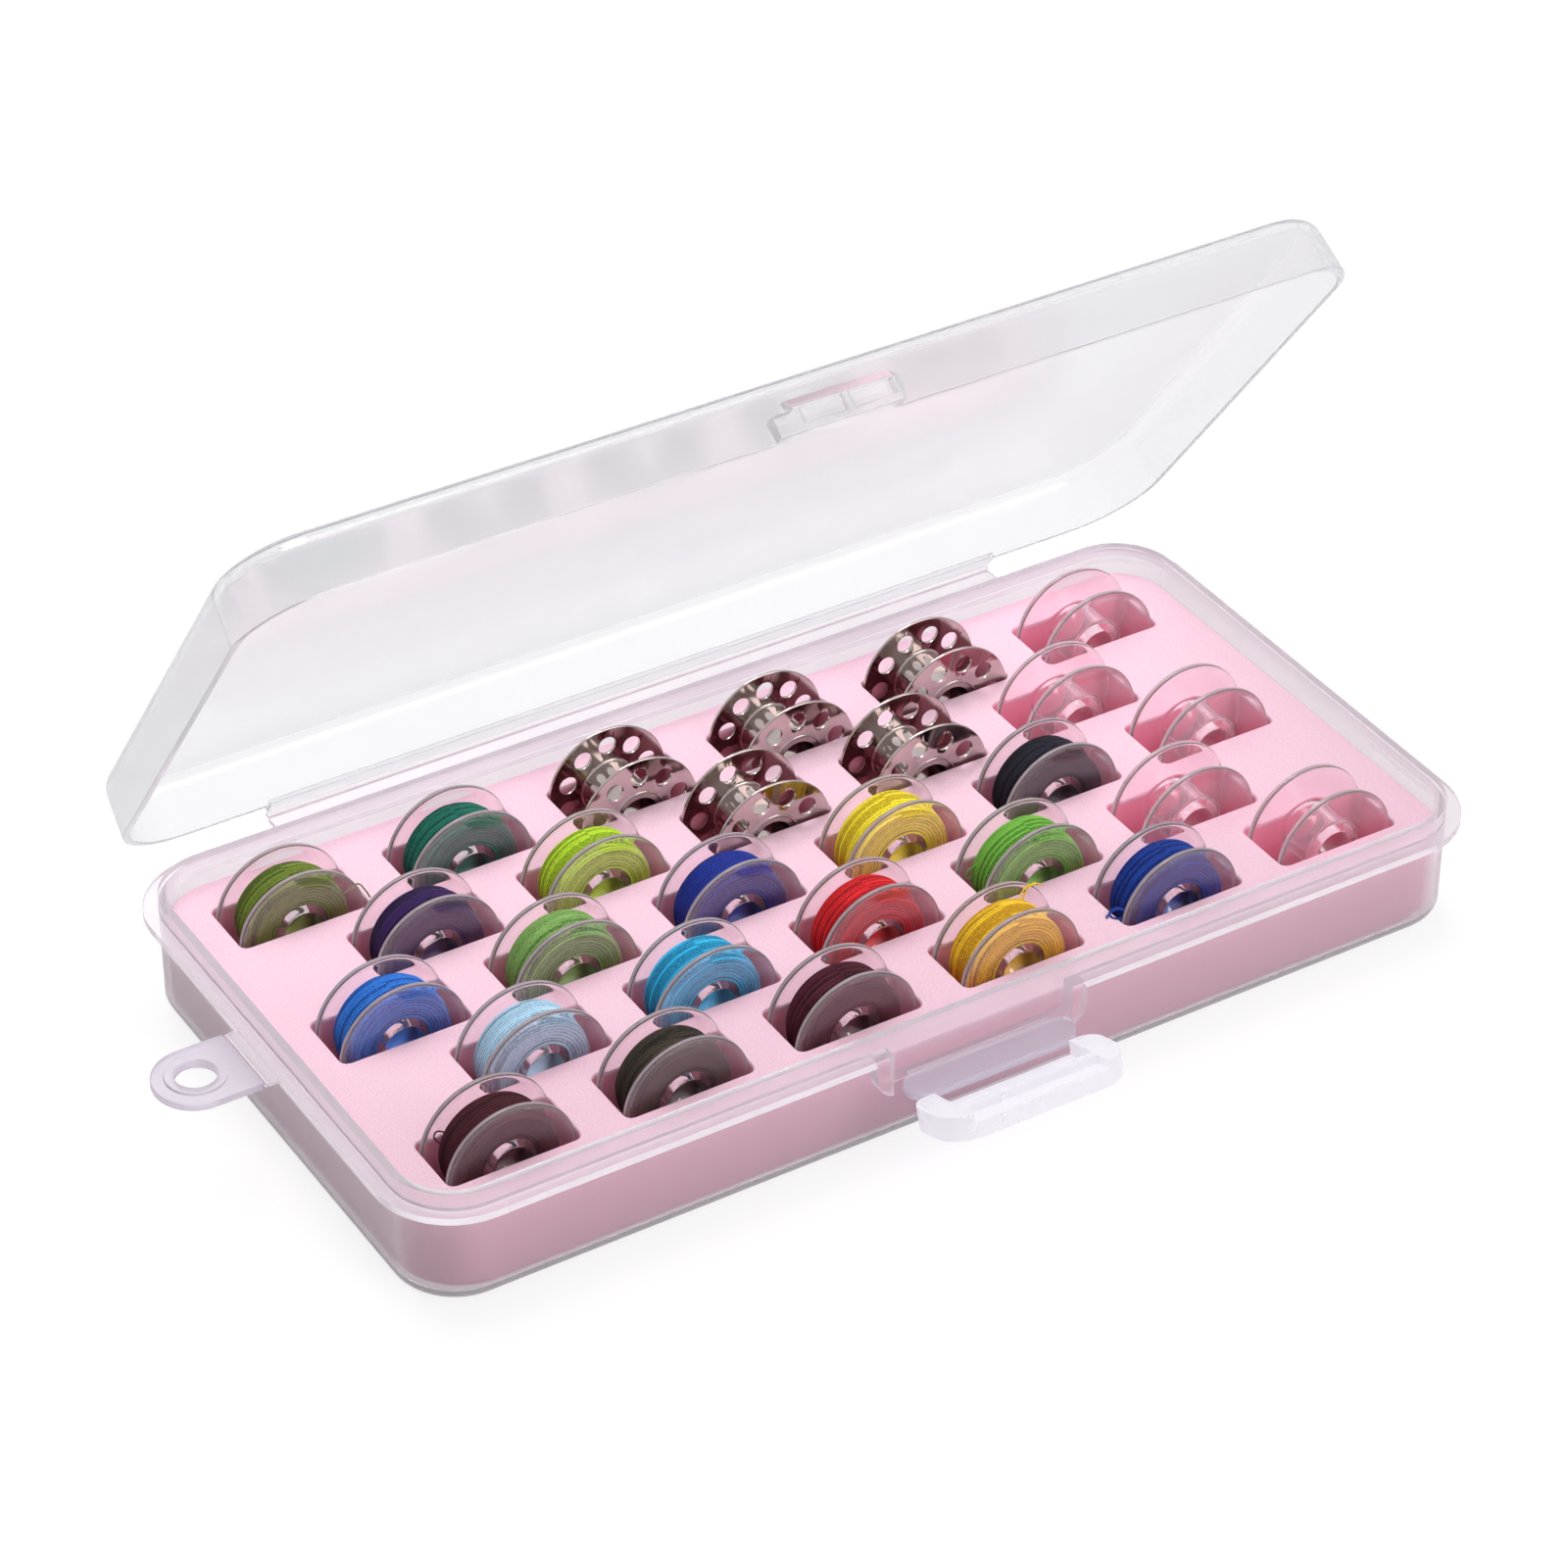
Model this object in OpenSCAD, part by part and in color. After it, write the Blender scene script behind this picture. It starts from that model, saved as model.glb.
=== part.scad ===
// Bobbin box: a shallow clear moulded tray with a living-hinged lid, a two-part snap latch,
// a hang tab, and a foam insert whose staggered slots hold wound, steel and empty bobbins.
// Millimetres. Origin: centre of the tray's underside. +X right, +Y to the hinge, +Z up.

/* [Tray] */
// Outer length of the tray wall, left to right
tray_w = 177.6; // [177:0.1:200]
// Outer depth of the tray wall, front to back
tray_d = 88.5; // [86:0.1:110]
// Height of the tray to the top of its rim
tray_h = 19.3; // [17:0.1:21]
// Outer corner radius of the tray wall
tray_corner_r = 9.9; // [8:0.1:14]
// Thickness of the tray wall
tray_wall = 1.2; // [0.8:0.1:1.6]
// Thickness of the tray floor
tray_floor = 1.2; // [0.8:0.1:1.8]
// Radius of the bottom outer edge
tray_edge_r = 2.0; // [1.8:0.1:2.4]
// Rise of the rim above the ledge
rim_rise = 2.2; // [1.5:0.1:3]

/* [Ledge] */
// How far the ledge stands out from the tray wall
ledge_reach = 2.3; // [2:0.1:3]
// Thickness of the ledge
ledge_thick = 1.2; // [0.8:0.1:1.6]

/* [Foam] */
// Foam left under each slot
foam_under = 1.2; // [0.8:0.1:1.8]
// Gap between the foam and the tray wall
foam_gap = 0.3; // [0.2:0.05:0.8]
// Gap at each end of a slot
slot_end_gap = 0.3; // [0.2:0.05:0.6]
// Gap at each side of a slot
slot_side_gap = 0.25; // [0.2:0.05:0.5]
// Gap under a seated bobbin
slot_floor_gap = 0.3; // [0.2:0.05:0.6]

/* [Bobbin layout] */
// Foam left beyond the end slots of the longer rows
row_end_foam = 6.55; // [5:0.05:8]
// Foam left outside the first row and the last row
row_side_foam = 6.15; // [5:0.05:7]
// Depth of the bobbin axis below the foam's top
axis_sink = 1.8; // [1:0.1:2]

/* [Plastic bobbin] */
// Diameter of every bobbin
bobbin_d = 20.4; // [19.5:0.1:21]
// Bore of every bobbin
bore_d = 6.2; // [5.8:0.1:6.4]
// Diameter of the core of every bobbin
core_d = 8.6; // [8:0.1:9.4]
// Overall width of a plastic bobbin
plastic_w = 8.5; // [7.5:0.1:9.5]
// Flange thickness of a plastic bobbin
plastic_flange = 1.0; // [0.8:0.05:1.3]
// Diameter of the thread hole in a plastic flange
thread_hole_d = 1.5; // [1:0.1:2]
// Radius at which the thread hole sits
thread_hole_at = 6.2; // [5.8:0.1:7.5]

/* [Thread] */
// Outer diameter of the wound thread at mid width
winding_d = 16.6; // [14:0.1:18]
// How much lower the winding is beside the flanges
winding_crown = 0.5; // [0.2:0.1:1]
// Gap between the winding and the bobbin
winding_gap = 0.05; // [0.02:0.01:0.1]

/* [Steel bobbin] */
// Overall width of a steel bobbin
steel_w = 10.5; // [9.5:0.1:10.8]
// Flange thickness of a steel bobbin
steel_flange = 0.5; // [0.4:0.05:0.8]
// Number of holes in each steel flange
steel_holes = 10; // [6:1:11]
// Diameter of those holes
steel_hole_d = 3.0; // [2:0.1:3.4]
// Radius at which those holes sit
steel_hole_at = 7.2; // [6.8:0.1:7.4]
// Width of the rolled ring round the steel bore
roll_w = 0.5; // [0.3:0.1:0.7]
// Height of the rolled ring above the steel flange
roll_rise = 0.2; // [0.1:0.05:0.2]

/* [Lid] */
// Height of the lid from mouth to top
lid_h = 9.8; // [8.5:0.1:13]
// Thickness of the lid
lid_wall = 1.1; // [0.8:0.1:1.4]
// Radius of the lid's top outer edge
lid_edge_r = 3.0; // [2:0.1:4]
// How far the lid wall leans inward up to that edge
lid_lean = 0.5; // [0.2:0.1:1]
// Gap between the closed lid and the ledge
lid_gap = 0.3; // [0.2:0.05:0.5]
// How far the lid stands open, from closed
lid_open = 53.8; // [30:0.1:90]

/* [Hinge] */
// Length of the living hinge
hinge_len = 128.6; // [60:0.1:150]
// Distance of the hinge line from the ledge edge
hinge_reach = 3.5; // [2.5:0.1:5]
// Thickness of each hinge leaf
leaf_thick = 0.9; // [0.6:0.1:1.2]
// Radius of the thin web at every fold line
web_r = 0.35; // [0.25:0.05:0.45]
// Gap between a fold line's web and the piece that turns on it
fold_gap = 0.3; // [0.2:0.05:0.5]

/* [Catch] */
// Left end of the catch block
catch_left = 7.0; // [5:0.1:9]
// Right end of the catch block
catch_right = 10.2; // [8:0.1:10.3]
// How far the catch stands out from the lid wall
catch_proud = 2.2; // [1.5:0.1:2.4]
// Height of the catch at the lid wall
catch_h = 5.6; // [4.5:0.1:6]
// Height of the catch at its front face
catch_face_h = 3.6; // [3:0.1:4.2]
// Length of the low wing at the catch's left end
wing_len = 3.4; // [2:0.1:3.6]
// Height of that wing
wing_h = 3.4; // [2:0.1:4]
// Depth of the two moulded recesses in the catch
catch_recess = 1.2; // [0.6:0.1:1.4]
// Thickness of the catch walls round those recesses
catch_rib = 1.1; // [0.8:0.1:1.5]

/* [Latch] */
// Half width of the pocket in the ledge
pocket_half = 15.1; // [14.8:0.1:17]
// Width of the legs at each side of the pocket
leg_w = 2.6; // [2:0.1:4]
// Outer corner radius of the legs
leg_corner_r = 3.6; // [2:0.1:4]
// Height of the legs' lower end above the table
leg_bottom = 9.7; // [9:0.1:10]
// Height of the link's fold line above the table
link_fold_z = 11.6; // [11.5:0.1:12.5]
// Distance of the link's fold line from the tray wall
link_fold_out = 1.05; // [0.9:0.05:1.2]
// Distance between the latch's two fold lines
link_len = 5.5; // [5:0.1:6]
// Thickness of the link
link_thick = 1.2; // [0.8:0.1:1.2]
// Half width of the link
link_half = 14.2; // [13:0.1:14.5]
// Corner radius of the link
link_corner_r = 2.2; // [1:0.1:2.4]
// How far the open link hangs below level
link_droop = 5; // [0:1:8]
// How far the open tab rises above level
tab_rise = 18; // [10:1:22]
// Half width of the tab
tab_half = 15.6; // [15:0.1:17]
// Distance of the tab's outer end from its fold line
tab_end = 11.5; // [10:0.1:13]
// Thickness of the tab
tab_thick = 3.7; // [3.4:0.1:4.2]
// How far the tab's inner side stands past its fold line
tab_inset = 0.7; // [0.4:0.1:0.8]
// Corner radius at the tab's outer end
tab_outer_r = 5.5; // [3:0.1:6]
// Corner radius at the tab's folded end
tab_inner_r = 2.6; // [1:0.1:4]
// Half width of the recess that takes the catch
tab_recess_half = 11.4; // [11:0.1:12]
// Thickness of the tab under that recess
tab_skin = 1.5; // [1.2:0.1:1.6]
// Distance of the hook from the tab's fold line
hook_at = 6.9; // [6.7:0.1:7.2]
// Thickness of the hook
hook_thick = 1.4; // [1:0.1:1.8]
// Width of the slot under the hook
hook_slot_w = 1.8; // [1:0.1:2.2]
// Half length of that slot
hook_slot_half = 9.0; // [6:0.1:10]

/* [Hang tab] */
// Width of the hang tab
hang_w = 12.8; // [11:0.1:16]
// Distance of the hang tab's end from the ledge
hang_reach = 16.0; // [14:0.1:20]
// Thickness of the hang tab
hang_thick = 1.2; // [0.9:0.1:1.2]
// Distance of its fold line from the ledge
hang_fold = 1.8; // [1.5:0.1:2.2]
// Diameter of the hanging hole
hang_hole_d = 6.2; // [4:0.1:7]
// Diameter of the raised ring round the hole
hang_ring_d = 9.0; // [8:0.1:10.5]
// Height of that ring above the tab
hang_ring_rise = 0.4; // [0.2:0.1:0.6]
// Place of the tab along the tray's side
hang_y = 0.5; // [-5:0.5:5]

/* [Hidden] */
$fn = 48;
eps = 0.2;

// Tray and ledge
ledge_top = tray_h - rim_rise;
ledge_w = tray_w + 2 * ledge_reach;
ledge_d = tray_d + 2 * ledge_reach;
ledge_r = tray_corner_r + ledge_reach;

// Foam and its slots: six slots in the odd rows, five in the even ones
foam_w = tray_w - 2 * tray_wall - 2 * foam_gap;
foam_d = tray_d - 2 * tray_wall - 2 * foam_gap;
foam_r = tray_corner_r - tray_wall - foam_gap;
rows = 5;
odd_row_count = 6;
slot_l = bobbin_d + 2 * slot_end_gap;
slot_w = max(steel_w, plastic_w) + 2 * slot_side_gap;
slot_bottom = tray_floor + foam_under;
axis_z = slot_bottom + slot_floor_gap + bobbin_d / 2;
foam_top = axis_z + axis_sink;
pitch_x = (foam_w - 2 * row_end_foam - slot_l) / (odd_row_count - 1);
pitch_y = (foam_d - 2 * row_side_foam - slot_w) / (rows - 1);

// Lid, worked out closed and then turned open about the hinge line
mouth_z = ledge_top + lid_gap;
hinge_y = ledge_d / 2 + hinge_reach;
hinge_z = ledge_top + lid_gap / 2;
lid_top_inset = lid_lean + lid_edge_r;
arc_steps = 6;

// Latch
link_fold_y = -(tray_d / 2 + link_fold_out);
tab_fold_y = link_fold_y - link_len * cos(link_droop);
tab_fold_z = link_fold_z - link_len * sin(link_droop);
flange_z = link_fold_z + web_r;

// Hang tab
hang_fold_x = -(ledge_w / 2 + hang_fold);
hang_z = ledge_top - hang_thick / 2;
hang_centre_x = -(ledge_w / 2 + hang_reach - hang_w / 2);

function row_count(row) = row % 2 == 1 ? odd_row_count : odd_row_count - 1;
function bobbin_x(row, column) = (column - (row_count(row) + 1) / 2) * pitch_x;
function bobbin_y(row) = (row - (rows + 1) / 2) * pitch_y;

// Rectangle with round corners
module round_rect(w, d, r) {
    square([w - 2 * r, d], center = true);
    square([w, d - 2 * r], center = true);
    for (sx = [-1, 1])
        for (sy = [-1, 1])
            translate([sx * (w / 2 - r), sy * (d / 2 - r)])
                circle(r);
}

// One straight side of a round-cornered frame: the profile's x runs outward, its y up
module frame_side(across, along, r) {
    translate([across / 2 - r, along / 2 - r, 0])
        rotate([90, 0, 0])
            linear_extrude(along - 2 * r)
                children();
}

// Carries a profile round a rectangle with round corners; the profile's x is 0 at the corner centres
module carry_round(w, d, r) {
    for (turn = [0, 180])
        rotate(turn) {
            frame_side(w, d, r) children();
            translate([w / 2 - r, d / 2 - r, 0])
                rotate_extrude(angle = 90)
                    children();
        }
    for (turn = [90, 270])
        rotate(turn) {
            frame_side(d, w, r) children();
            translate([d / 2 - r, w / 2 - r, 0])
                rotate_extrude(angle = 90)
                    children();
        }
}

// Section through the tray wall: rounded bottom edge, wall and rim
module tray_section() {
    edge_x = tray_corner_r - tray_edge_r;
    difference() {
        union() {
            translate([edge_x, tray_edge_r])
                circle(tray_edge_r);
            translate([edge_x, tray_edge_r])
                square([tray_edge_r, tray_h - tray_edge_r]);
        }
        square([edge_x, tray_h]);
        translate([0, tray_edge_r])
            square([tray_corner_r - tray_wall, tray_h]);
        translate([edge_x, tray_edge_r])
            circle(tray_edge_r - tray_wall);
    }
}

// Section through the ledge that stands out all round the tray
module ledge_section() {
    translate([tray_corner_r - tray_wall / 2, ledge_top - ledge_thick])
        square([ledge_reach + tray_wall / 2, ledge_thick]);
}

// The two legs that the ledge turns down into at the pocket
module pocket_legs() {
    outer_half = pocket_half + leg_w;
    leg_h = ledge_top - leg_bottom;
    for (side = [-1, 1])
        translate([side * (outer_half - leg_corner_r), -(tray_d / 2 - tray_wall / 2), 0])
            rotate([90, 0, 0])
                linear_extrude(ledge_reach + tray_wall / 2)
                    intersection() {
                        union() {
                            translate([0, leg_bottom + leg_corner_r])
                                circle(leg_corner_r);
                            translate([-leg_corner_r, leg_bottom + leg_corner_r])
                                square([2 * leg_corner_r, leg_h - leg_corner_r]);
                        }
                        translate([side > 0 ? leg_corner_r - leg_w : -leg_corner_r, leg_bottom])
                            square([leg_w, leg_h]);
                    }
}

// Web on a fold line: a bead along +X from the origin, and the neck that joins it on its +Y side
module fold_web(length) {
    rotate([0, 90, 0])
        cylinder(h = length, r = web_r);
    translate([0, 0, -web_r / 2])
        cube([length, web_r + eps, web_r]);
}

// Bar across the pocket that carries the link's fold line, and the web on it
module pocket_bar() {
    bar_depth = link_fold_out - web_r + tray_wall / 2;
    translate([-pocket_half - eps, -(tray_d / 2 - tray_wall / 2) - bar_depth, flange_z - ledge_thick])
        cube([2 * (pocket_half + eps), bar_depth, ledge_thick]);
    translate([-link_half + link_corner_r, link_fold_y, link_fold_z])
        fold_web(2 * (link_half - link_corner_r));
}

// Leaf of the living hinge on the tray's side
module base_leaf() {
    translate([-hinge_len / 2, ledge_d / 2 - eps, ledge_top - leaf_thick])
        cube([hinge_len, hinge_reach - web_r + eps, leaf_thick]);
}

// Stub and web that carry the hang tab
module hang_stub() {
    stub = hang_fold - web_r + eps;
    stub_thick = hang_thick - fold_gap;
    translate([hang_fold_x + web_r, hang_y - hang_w / 2, hang_z - stub_thick / 2])
        cube([stub, hang_w, stub_thick]);
    translate([hang_fold_x, hang_y + hang_w / 2, hang_z])
        rotate(-90)
            fold_web(hang_w);
}

module base() {
    color([0.90, 0.90, 0.94, 0.45]) {
        carry_round(tray_w, tray_d, tray_corner_r)
            tray_section();
        difference() {
            carry_round(tray_w, tray_d, tray_corner_r)
                ledge_section();
            translate([-pocket_half, -ledge_d / 2 - 1, leg_bottom])
                cube([2 * pocket_half, ledge_reach + 1, tray_h]);
        }
        pocket_legs();
        pocket_bar();
        base_leaf();
        hang_stub();
    }
}

// Flat floor of the tray, inside the rounded bottom edge
module base_floor() {
    color([0.90, 0.90, 0.94, 0.45])
        linear_extrude(tray_floor)
            round_rect(tray_w - 2 * tray_edge_r, tray_d - 2 * tray_edge_r, tray_corner_r - tray_edge_r);
}

// Foam under the slots, kept clear of the rounded inside edge of the tray
module foam_floor() {
    inset = tray_edge_r - tray_wall;
    color([0.93, 0.75, 0.81])
        translate([0, 0, tray_floor])
            linear_extrude(slot_bottom - tray_floor)
                round_rect(foam_w - 2 * inset, foam_d - 2 * inset, foam_r - inset);
}

// Slot-deep piece of the foam between two corners of a rectangle, trimmed to the foam's outline
module foam_piece(low, high) {
    color([0.93, 0.75, 0.81])
        translate([0, 0, slot_bottom])
            linear_extrude(foam_top - slot_bottom)
                intersection() {
                    round_rect(foam_w, foam_d, foam_r);
                    translate(low)
                        square(high - low);
                }
}

// Strip of foam in front of a row of slots, or behind the last row
module foam_rib(index) {
    front_y = index == 1 ? -foam_d / 2 : bobbin_y(index - 1) + slot_w / 2;
    rear_y = index == rows + 1 ? foam_d / 2 : bobbin_y(index) - slot_w / 2;
    foam_piece([-foam_w / 2, front_y], [foam_w / 2, rear_y]);
}

// Blocks of foam between the slots of a row, and at its ends
module foam_row(row) {
    front_y = bobbin_y(row) - slot_w / 2;
    for (column = [0 : row_count(row)]) {
        left_x = column == 0 ? -foam_w / 2 : bobbin_x(row, column) + slot_l / 2;
        right_x = column == row_count(row) ? foam_w / 2 : bobbin_x(row, column + 1) - slot_l / 2;
        foam_piece([left_x, front_y], [right_x, front_y + slot_w]);
    }
}

// Thin web on the hinge line between the tray's leaf and the lid's leaf
module hinge_web() {
    color([0.88, 0.88, 0.93]) {
        translate([-hinge_len / 2, hinge_y, hinge_z])
            rotate([0, 90, 0])
                cylinder(h = hinge_len, r = web_r);
        translate([-hinge_len / 2, hinge_y - web_r, hinge_z - web_r])
            cube([hinge_len, web_r, ledge_top - hinge_z + web_r]);
    }
}

// Section through the lid wall: leaning wall, rounded top edge, start of the top plate
module lid_section() {
    centre = [ledge_r - lid_top_inset, lid_h - lid_edge_r];
    inner_r = lid_edge_r - lid_wall;
    outer_arc = [for (i = [0 : arc_steps]) centre + lid_edge_r * [cos(90 * i / arc_steps), sin(90 * i / arc_steps)]];
    inner_arc = [for (i = [arc_steps : -1 : 0]) centre + inner_r * [cos(90 * i / arc_steps), sin(90 * i / arc_steps)]];
    polygon(concat(
        [[ledge_r - lid_wall, 0], [ledge_r, 0]],
        outer_arc,
        [[0, lid_h], [0, lid_h - lid_wall]],
        inner_arc
    ));
}

// Catch on the front of the lid: a chamfered block with two moulded recesses and a low wing
module catch_block() {
    wall_y = -ledge_d / 2;
    root = lid_wall / 2 + lid_lean;
    split_x = (catch_right - catch_left) / 2;
    difference() {
        union() {
            translate([-catch_left, wall_y, 0])
                rotate([90, 0, 90])
                    linear_extrude(catch_left + catch_right)
                        polygon([
                            [root, 0],
                            [-catch_proud, 0],
                            [-catch_proud, catch_face_h],
                            [0, catch_h],
                            [root, catch_h]
                        ]);
            translate([-catch_left - wing_len, wall_y - catch_proud, 0])
                cube([wing_len + eps, catch_proud + root, wing_h]);
        }
        for (part = [[-catch_left + catch_rib, split_x - catch_rib / 2],
                     [split_x + catch_rib / 2, catch_right - catch_rib]])
            translate([part[0], wall_y - catch_proud - 1, catch_rib])
                cube([part[1] - part[0], catch_recess + 1, catch_face_h - catch_rib]);
    }
}

// Leaf of the living hinge on the lid's side
module lid_leaf() {
    leaf = hinge_reach - web_r - fold_gap;
    translate([-hinge_len / 2, ledge_d / 2 - lid_wall / 2, 0])
        cube([hinge_len, leaf + lid_wall / 2, leaf_thick]);
}

// The lid as it stands closed, with its mouth on z = 0
module lid_shell() {
    carry_round(ledge_w, ledge_d, ledge_r)
        lid_section();
    translate([0, 0, lid_h - lid_wall])
        linear_extrude(lid_wall) {
            square([ledge_w - 2 * ledge_r, ledge_d - 2 * lid_top_inset], center = true);
            square([ledge_w - 2 * lid_top_inset, ledge_d - 2 * ledge_r], center = true);
        }
    catch_block();
    lid_leaf();
}

module lid() {
    color([0.92, 0.92, 0.96, 0.35])
        translate([0, hinge_y, hinge_z])
            rotate([-lid_open, 0, 0])
                translate([0, -hinge_y, mouth_z - hinge_z])
                    lid_shell();
}

// Link plate of the latch, with the web of the tab's fold line on its outer end
module latch_link() {
    start = web_r + fold_gap;
    length = link_len - web_r - start;
    color([0.86, 0.84, 0.90, 0.5])
        translate([0, link_fold_y, link_fold_z])
            rotate([link_droop, 0, 0]) {
                translate([0, -start - length / 2, -link_thick / 2])
                    linear_extrude(link_thick)
                        round_rect(2 * link_half, length, min(link_corner_r, length / 2));
                translate([-link_half + link_corner_r, -link_len, 0])
                    fold_web(2 * (link_half - link_corner_r));
            }
}

// Outline of the tab: small corners at the fold, large ones at the outer end
module tab_outline() {
    start = web_r + fold_gap;
    inner_y = -start - tab_inner_r;
    outer_y = -tab_end + tab_outer_r;
    for (side = [-1, 1]) {
        translate([side * (tab_half - tab_inner_r), inner_y])
            circle(tab_inner_r);
        translate([side * (tab_half - tab_outer_r), outer_y])
            circle(tab_outer_r);
    }
    translate([-tab_half, outer_y])
        square([2 * tab_half, inner_y - outer_y]);
    translate([-tab_half + tab_inner_r, inner_y])
        square([2 * (tab_half - tab_inner_r), tab_inner_r]);
    translate([-tab_half + tab_outer_r, -tab_end])
        square([2 * (tab_half - tab_outer_r), tab_outer_r]);
}

module latch_tab() {
    skin_top = tab_inset - tab_thick + tab_skin;
    lip_start = hook_at + hook_thick;
    color([0.93, 0.93, 0.96, 0.7])
        translate([0, tab_fold_y, tab_fold_z])
            rotate([-tab_rise, 0, 0])
                difference() {
                    translate([0, 0, tab_inset - tab_thick])
                        linear_extrude(tab_thick)
                            tab_outline();
                    translate([-tab_recess_half, -hook_at, skin_top])
                        cube([2 * tab_recess_half, hook_at, tab_thick]);
                    translate([-tab_recess_half, -tab_end - 1, skin_top + 1])
                        cube([2 * tab_recess_half, tab_end + 1 - lip_start, tab_thick]);
                    translate([-hook_slot_half, -hook_at, tab_inset - tab_thick - 1])
                        cube([2 * hook_slot_half, hook_slot_w, tab_thick]);
                }
}

module hang_tab() {
    start = hang_fold_x - web_r - fold_gap;
    color([0.92, 0.92, 0.95, 0.7])
        difference() {
            union() {
                translate([0, 0, hang_z - hang_thick / 2])
                    linear_extrude(hang_thick) {
                        translate([hang_centre_x, hang_y])
                            circle(hang_w / 2);
                        translate([hang_centre_x, hang_y - hang_w / 2])
                            square([start - hang_centre_x, hang_w]);
                    }
                translate([hang_centre_x, hang_y, hang_z - hang_thick / 2])
                    cylinder(h = hang_thick + hang_ring_rise, d = hang_ring_d);
            }
            translate([hang_centre_x, hang_y, hang_z - hang_thick])
                cylinder(h = 3 * hang_thick, d = hang_hole_d);
        }
}

// Turns a bobbin's own axis from +Z to +Y and sets it in its slot
module seat(row, column) {
    translate([bobbin_x(row, column), bobbin_y(row), axis_z])
        rotate([90, 0, 0])
            children();
}

// Half section of a moulded bobbin: flange, core, flange
module plastic_section() {
    inner = plastic_w / 2 - plastic_flange;
    difference() {
        translate([bore_d / 2, -plastic_w / 2])
            square([(bobbin_d - bore_d) / 2, plastic_w]);
        translate([core_d / 2, -inner])
            square([bobbin_d, 2 * inner]);
    }
}

module plastic_bobbin() {
    difference() {
        rotate_extrude()
            plastic_section();
        for (turn = [20, 200])
            rotate(turn)
                translate([thread_hole_at, 0, -plastic_w])
                    cylinder(h = 2 * plastic_w, d = thread_hole_d, $fn = 24);
    }
}

// Wound thread: a crowned ring between the flanges
module thread_winding() {
    half = plastic_w / 2 - plastic_flange - winding_gap;
    inner_r = core_d / 2 + winding_gap;
    outer_r = winding_d / 2;
    rotate_extrude()
        polygon([
            [inner_r, -half],
            [outer_r - winding_crown, -half],
            [outer_r, -half / 2],
            [outer_r, half / 2],
            [outer_r - winding_crown, half],
            [inner_r, half]
        ]);
}

// Half section of a steel bobbin: thin flanges, tube and the rolled ring round each bore
module steel_section() {
    half = steel_w / 2 - roll_rise;
    tube_wall = (core_d - bore_d) / 2;
    translate([bore_d / 2, -half])
        square([tube_wall, 2 * half]);
    for (side = [-1, 1]) {
        translate([bore_d / 2, side > 0 ? half - steel_flange : -half])
            square([(bobbin_d - bore_d) / 2, steel_flange]);
        translate([bore_d / 2 + tube_wall - roll_w, side > 0 ? half - eps : -half - roll_rise])
            square([roll_w, roll_rise + eps]);
    }
}

module steel_bobbin() {
    difference() {
        rotate_extrude()
            steel_section();
        for (i = [0 : steel_holes - 1])
            rotate(i * 360 / steel_holes)
                translate([steel_hole_at, 0, -steel_w])
                    cylinder(h = 2 * steel_w, d = steel_hole_d, $fn = 24);
    }
}

// Thread colours, row by row from the front and left to right
THREADS = [
    [1, 1, [0.20, 0.03, 0.08]], [1, 2, [0.17, 0.14, 0.11]], [1, 3, [0.26, 0.03, 0.10]],
    [1, 4, [0.97, 0.68, 0.08]], [1, 5, [0.04, 0.16, 0.62]],
    [2, 1, [0.62, 0.80, 0.92]], [2, 2, [0.15, 0.66, 0.85]], [2, 3, [0.80, 0.05, 0.10]],
    [2, 4, [0.34, 0.66, 0.16]],
    [3, 1, [0.15, 0.42, 0.82]], [3, 2, [0.30, 0.58, 0.24]], [3, 3, [0.06, 0.12, 0.62]],
    [3, 4, [0.98, 0.86, 0.12]], [3, 5, [0.05, 0.04, 0.10]],
    [4, 1, [0.17, 0.06, 0.28]], [4, 2, [0.62, 0.84, 0.12]],
    [5, 1, [0.42, 0.52, 0.14]], [5, 2, [0.04, 0.42, 0.34]]
];
CLEAR_BOBBINS = [[1, 6], [2, 5], [3, 6], [4, 5], [5, 6]];
STEEL_BOBBINS = [[4, 3], [4, 4], [5, 3], [5, 4], [5, 5]];

function place_name(kind, place) = str(kind, "_", place[0], "_", place[1]);

base();
base_floor();
hinge_web();
lid();
latch_link();
latch_tab();
hang_tab();
foam_floor();
for (index = [1 : rows + 1])
    foam_rib(index);
for (row = [1 : rows])
    foam_row(row);
for (thread = THREADS) {
    color([0.85, 0.78, 0.83, 0.5])
            seat(thread[0], thread[1])
                plastic_bobbin();
    color(thread[2])
            seat(thread[0], thread[1])
                thread_winding();
}
for (place = CLEAR_BOBBINS)
    color([0.92, 0.80, 0.86, 0.5])
            seat(place[0], place[1])
                plastic_bobbin();
for (place = STEEL_BOBBINS)
    color([0.70, 0.68, 0.68])
            seat(place[0], place[1])
                steel_bobbin();
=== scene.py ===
import math

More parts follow.
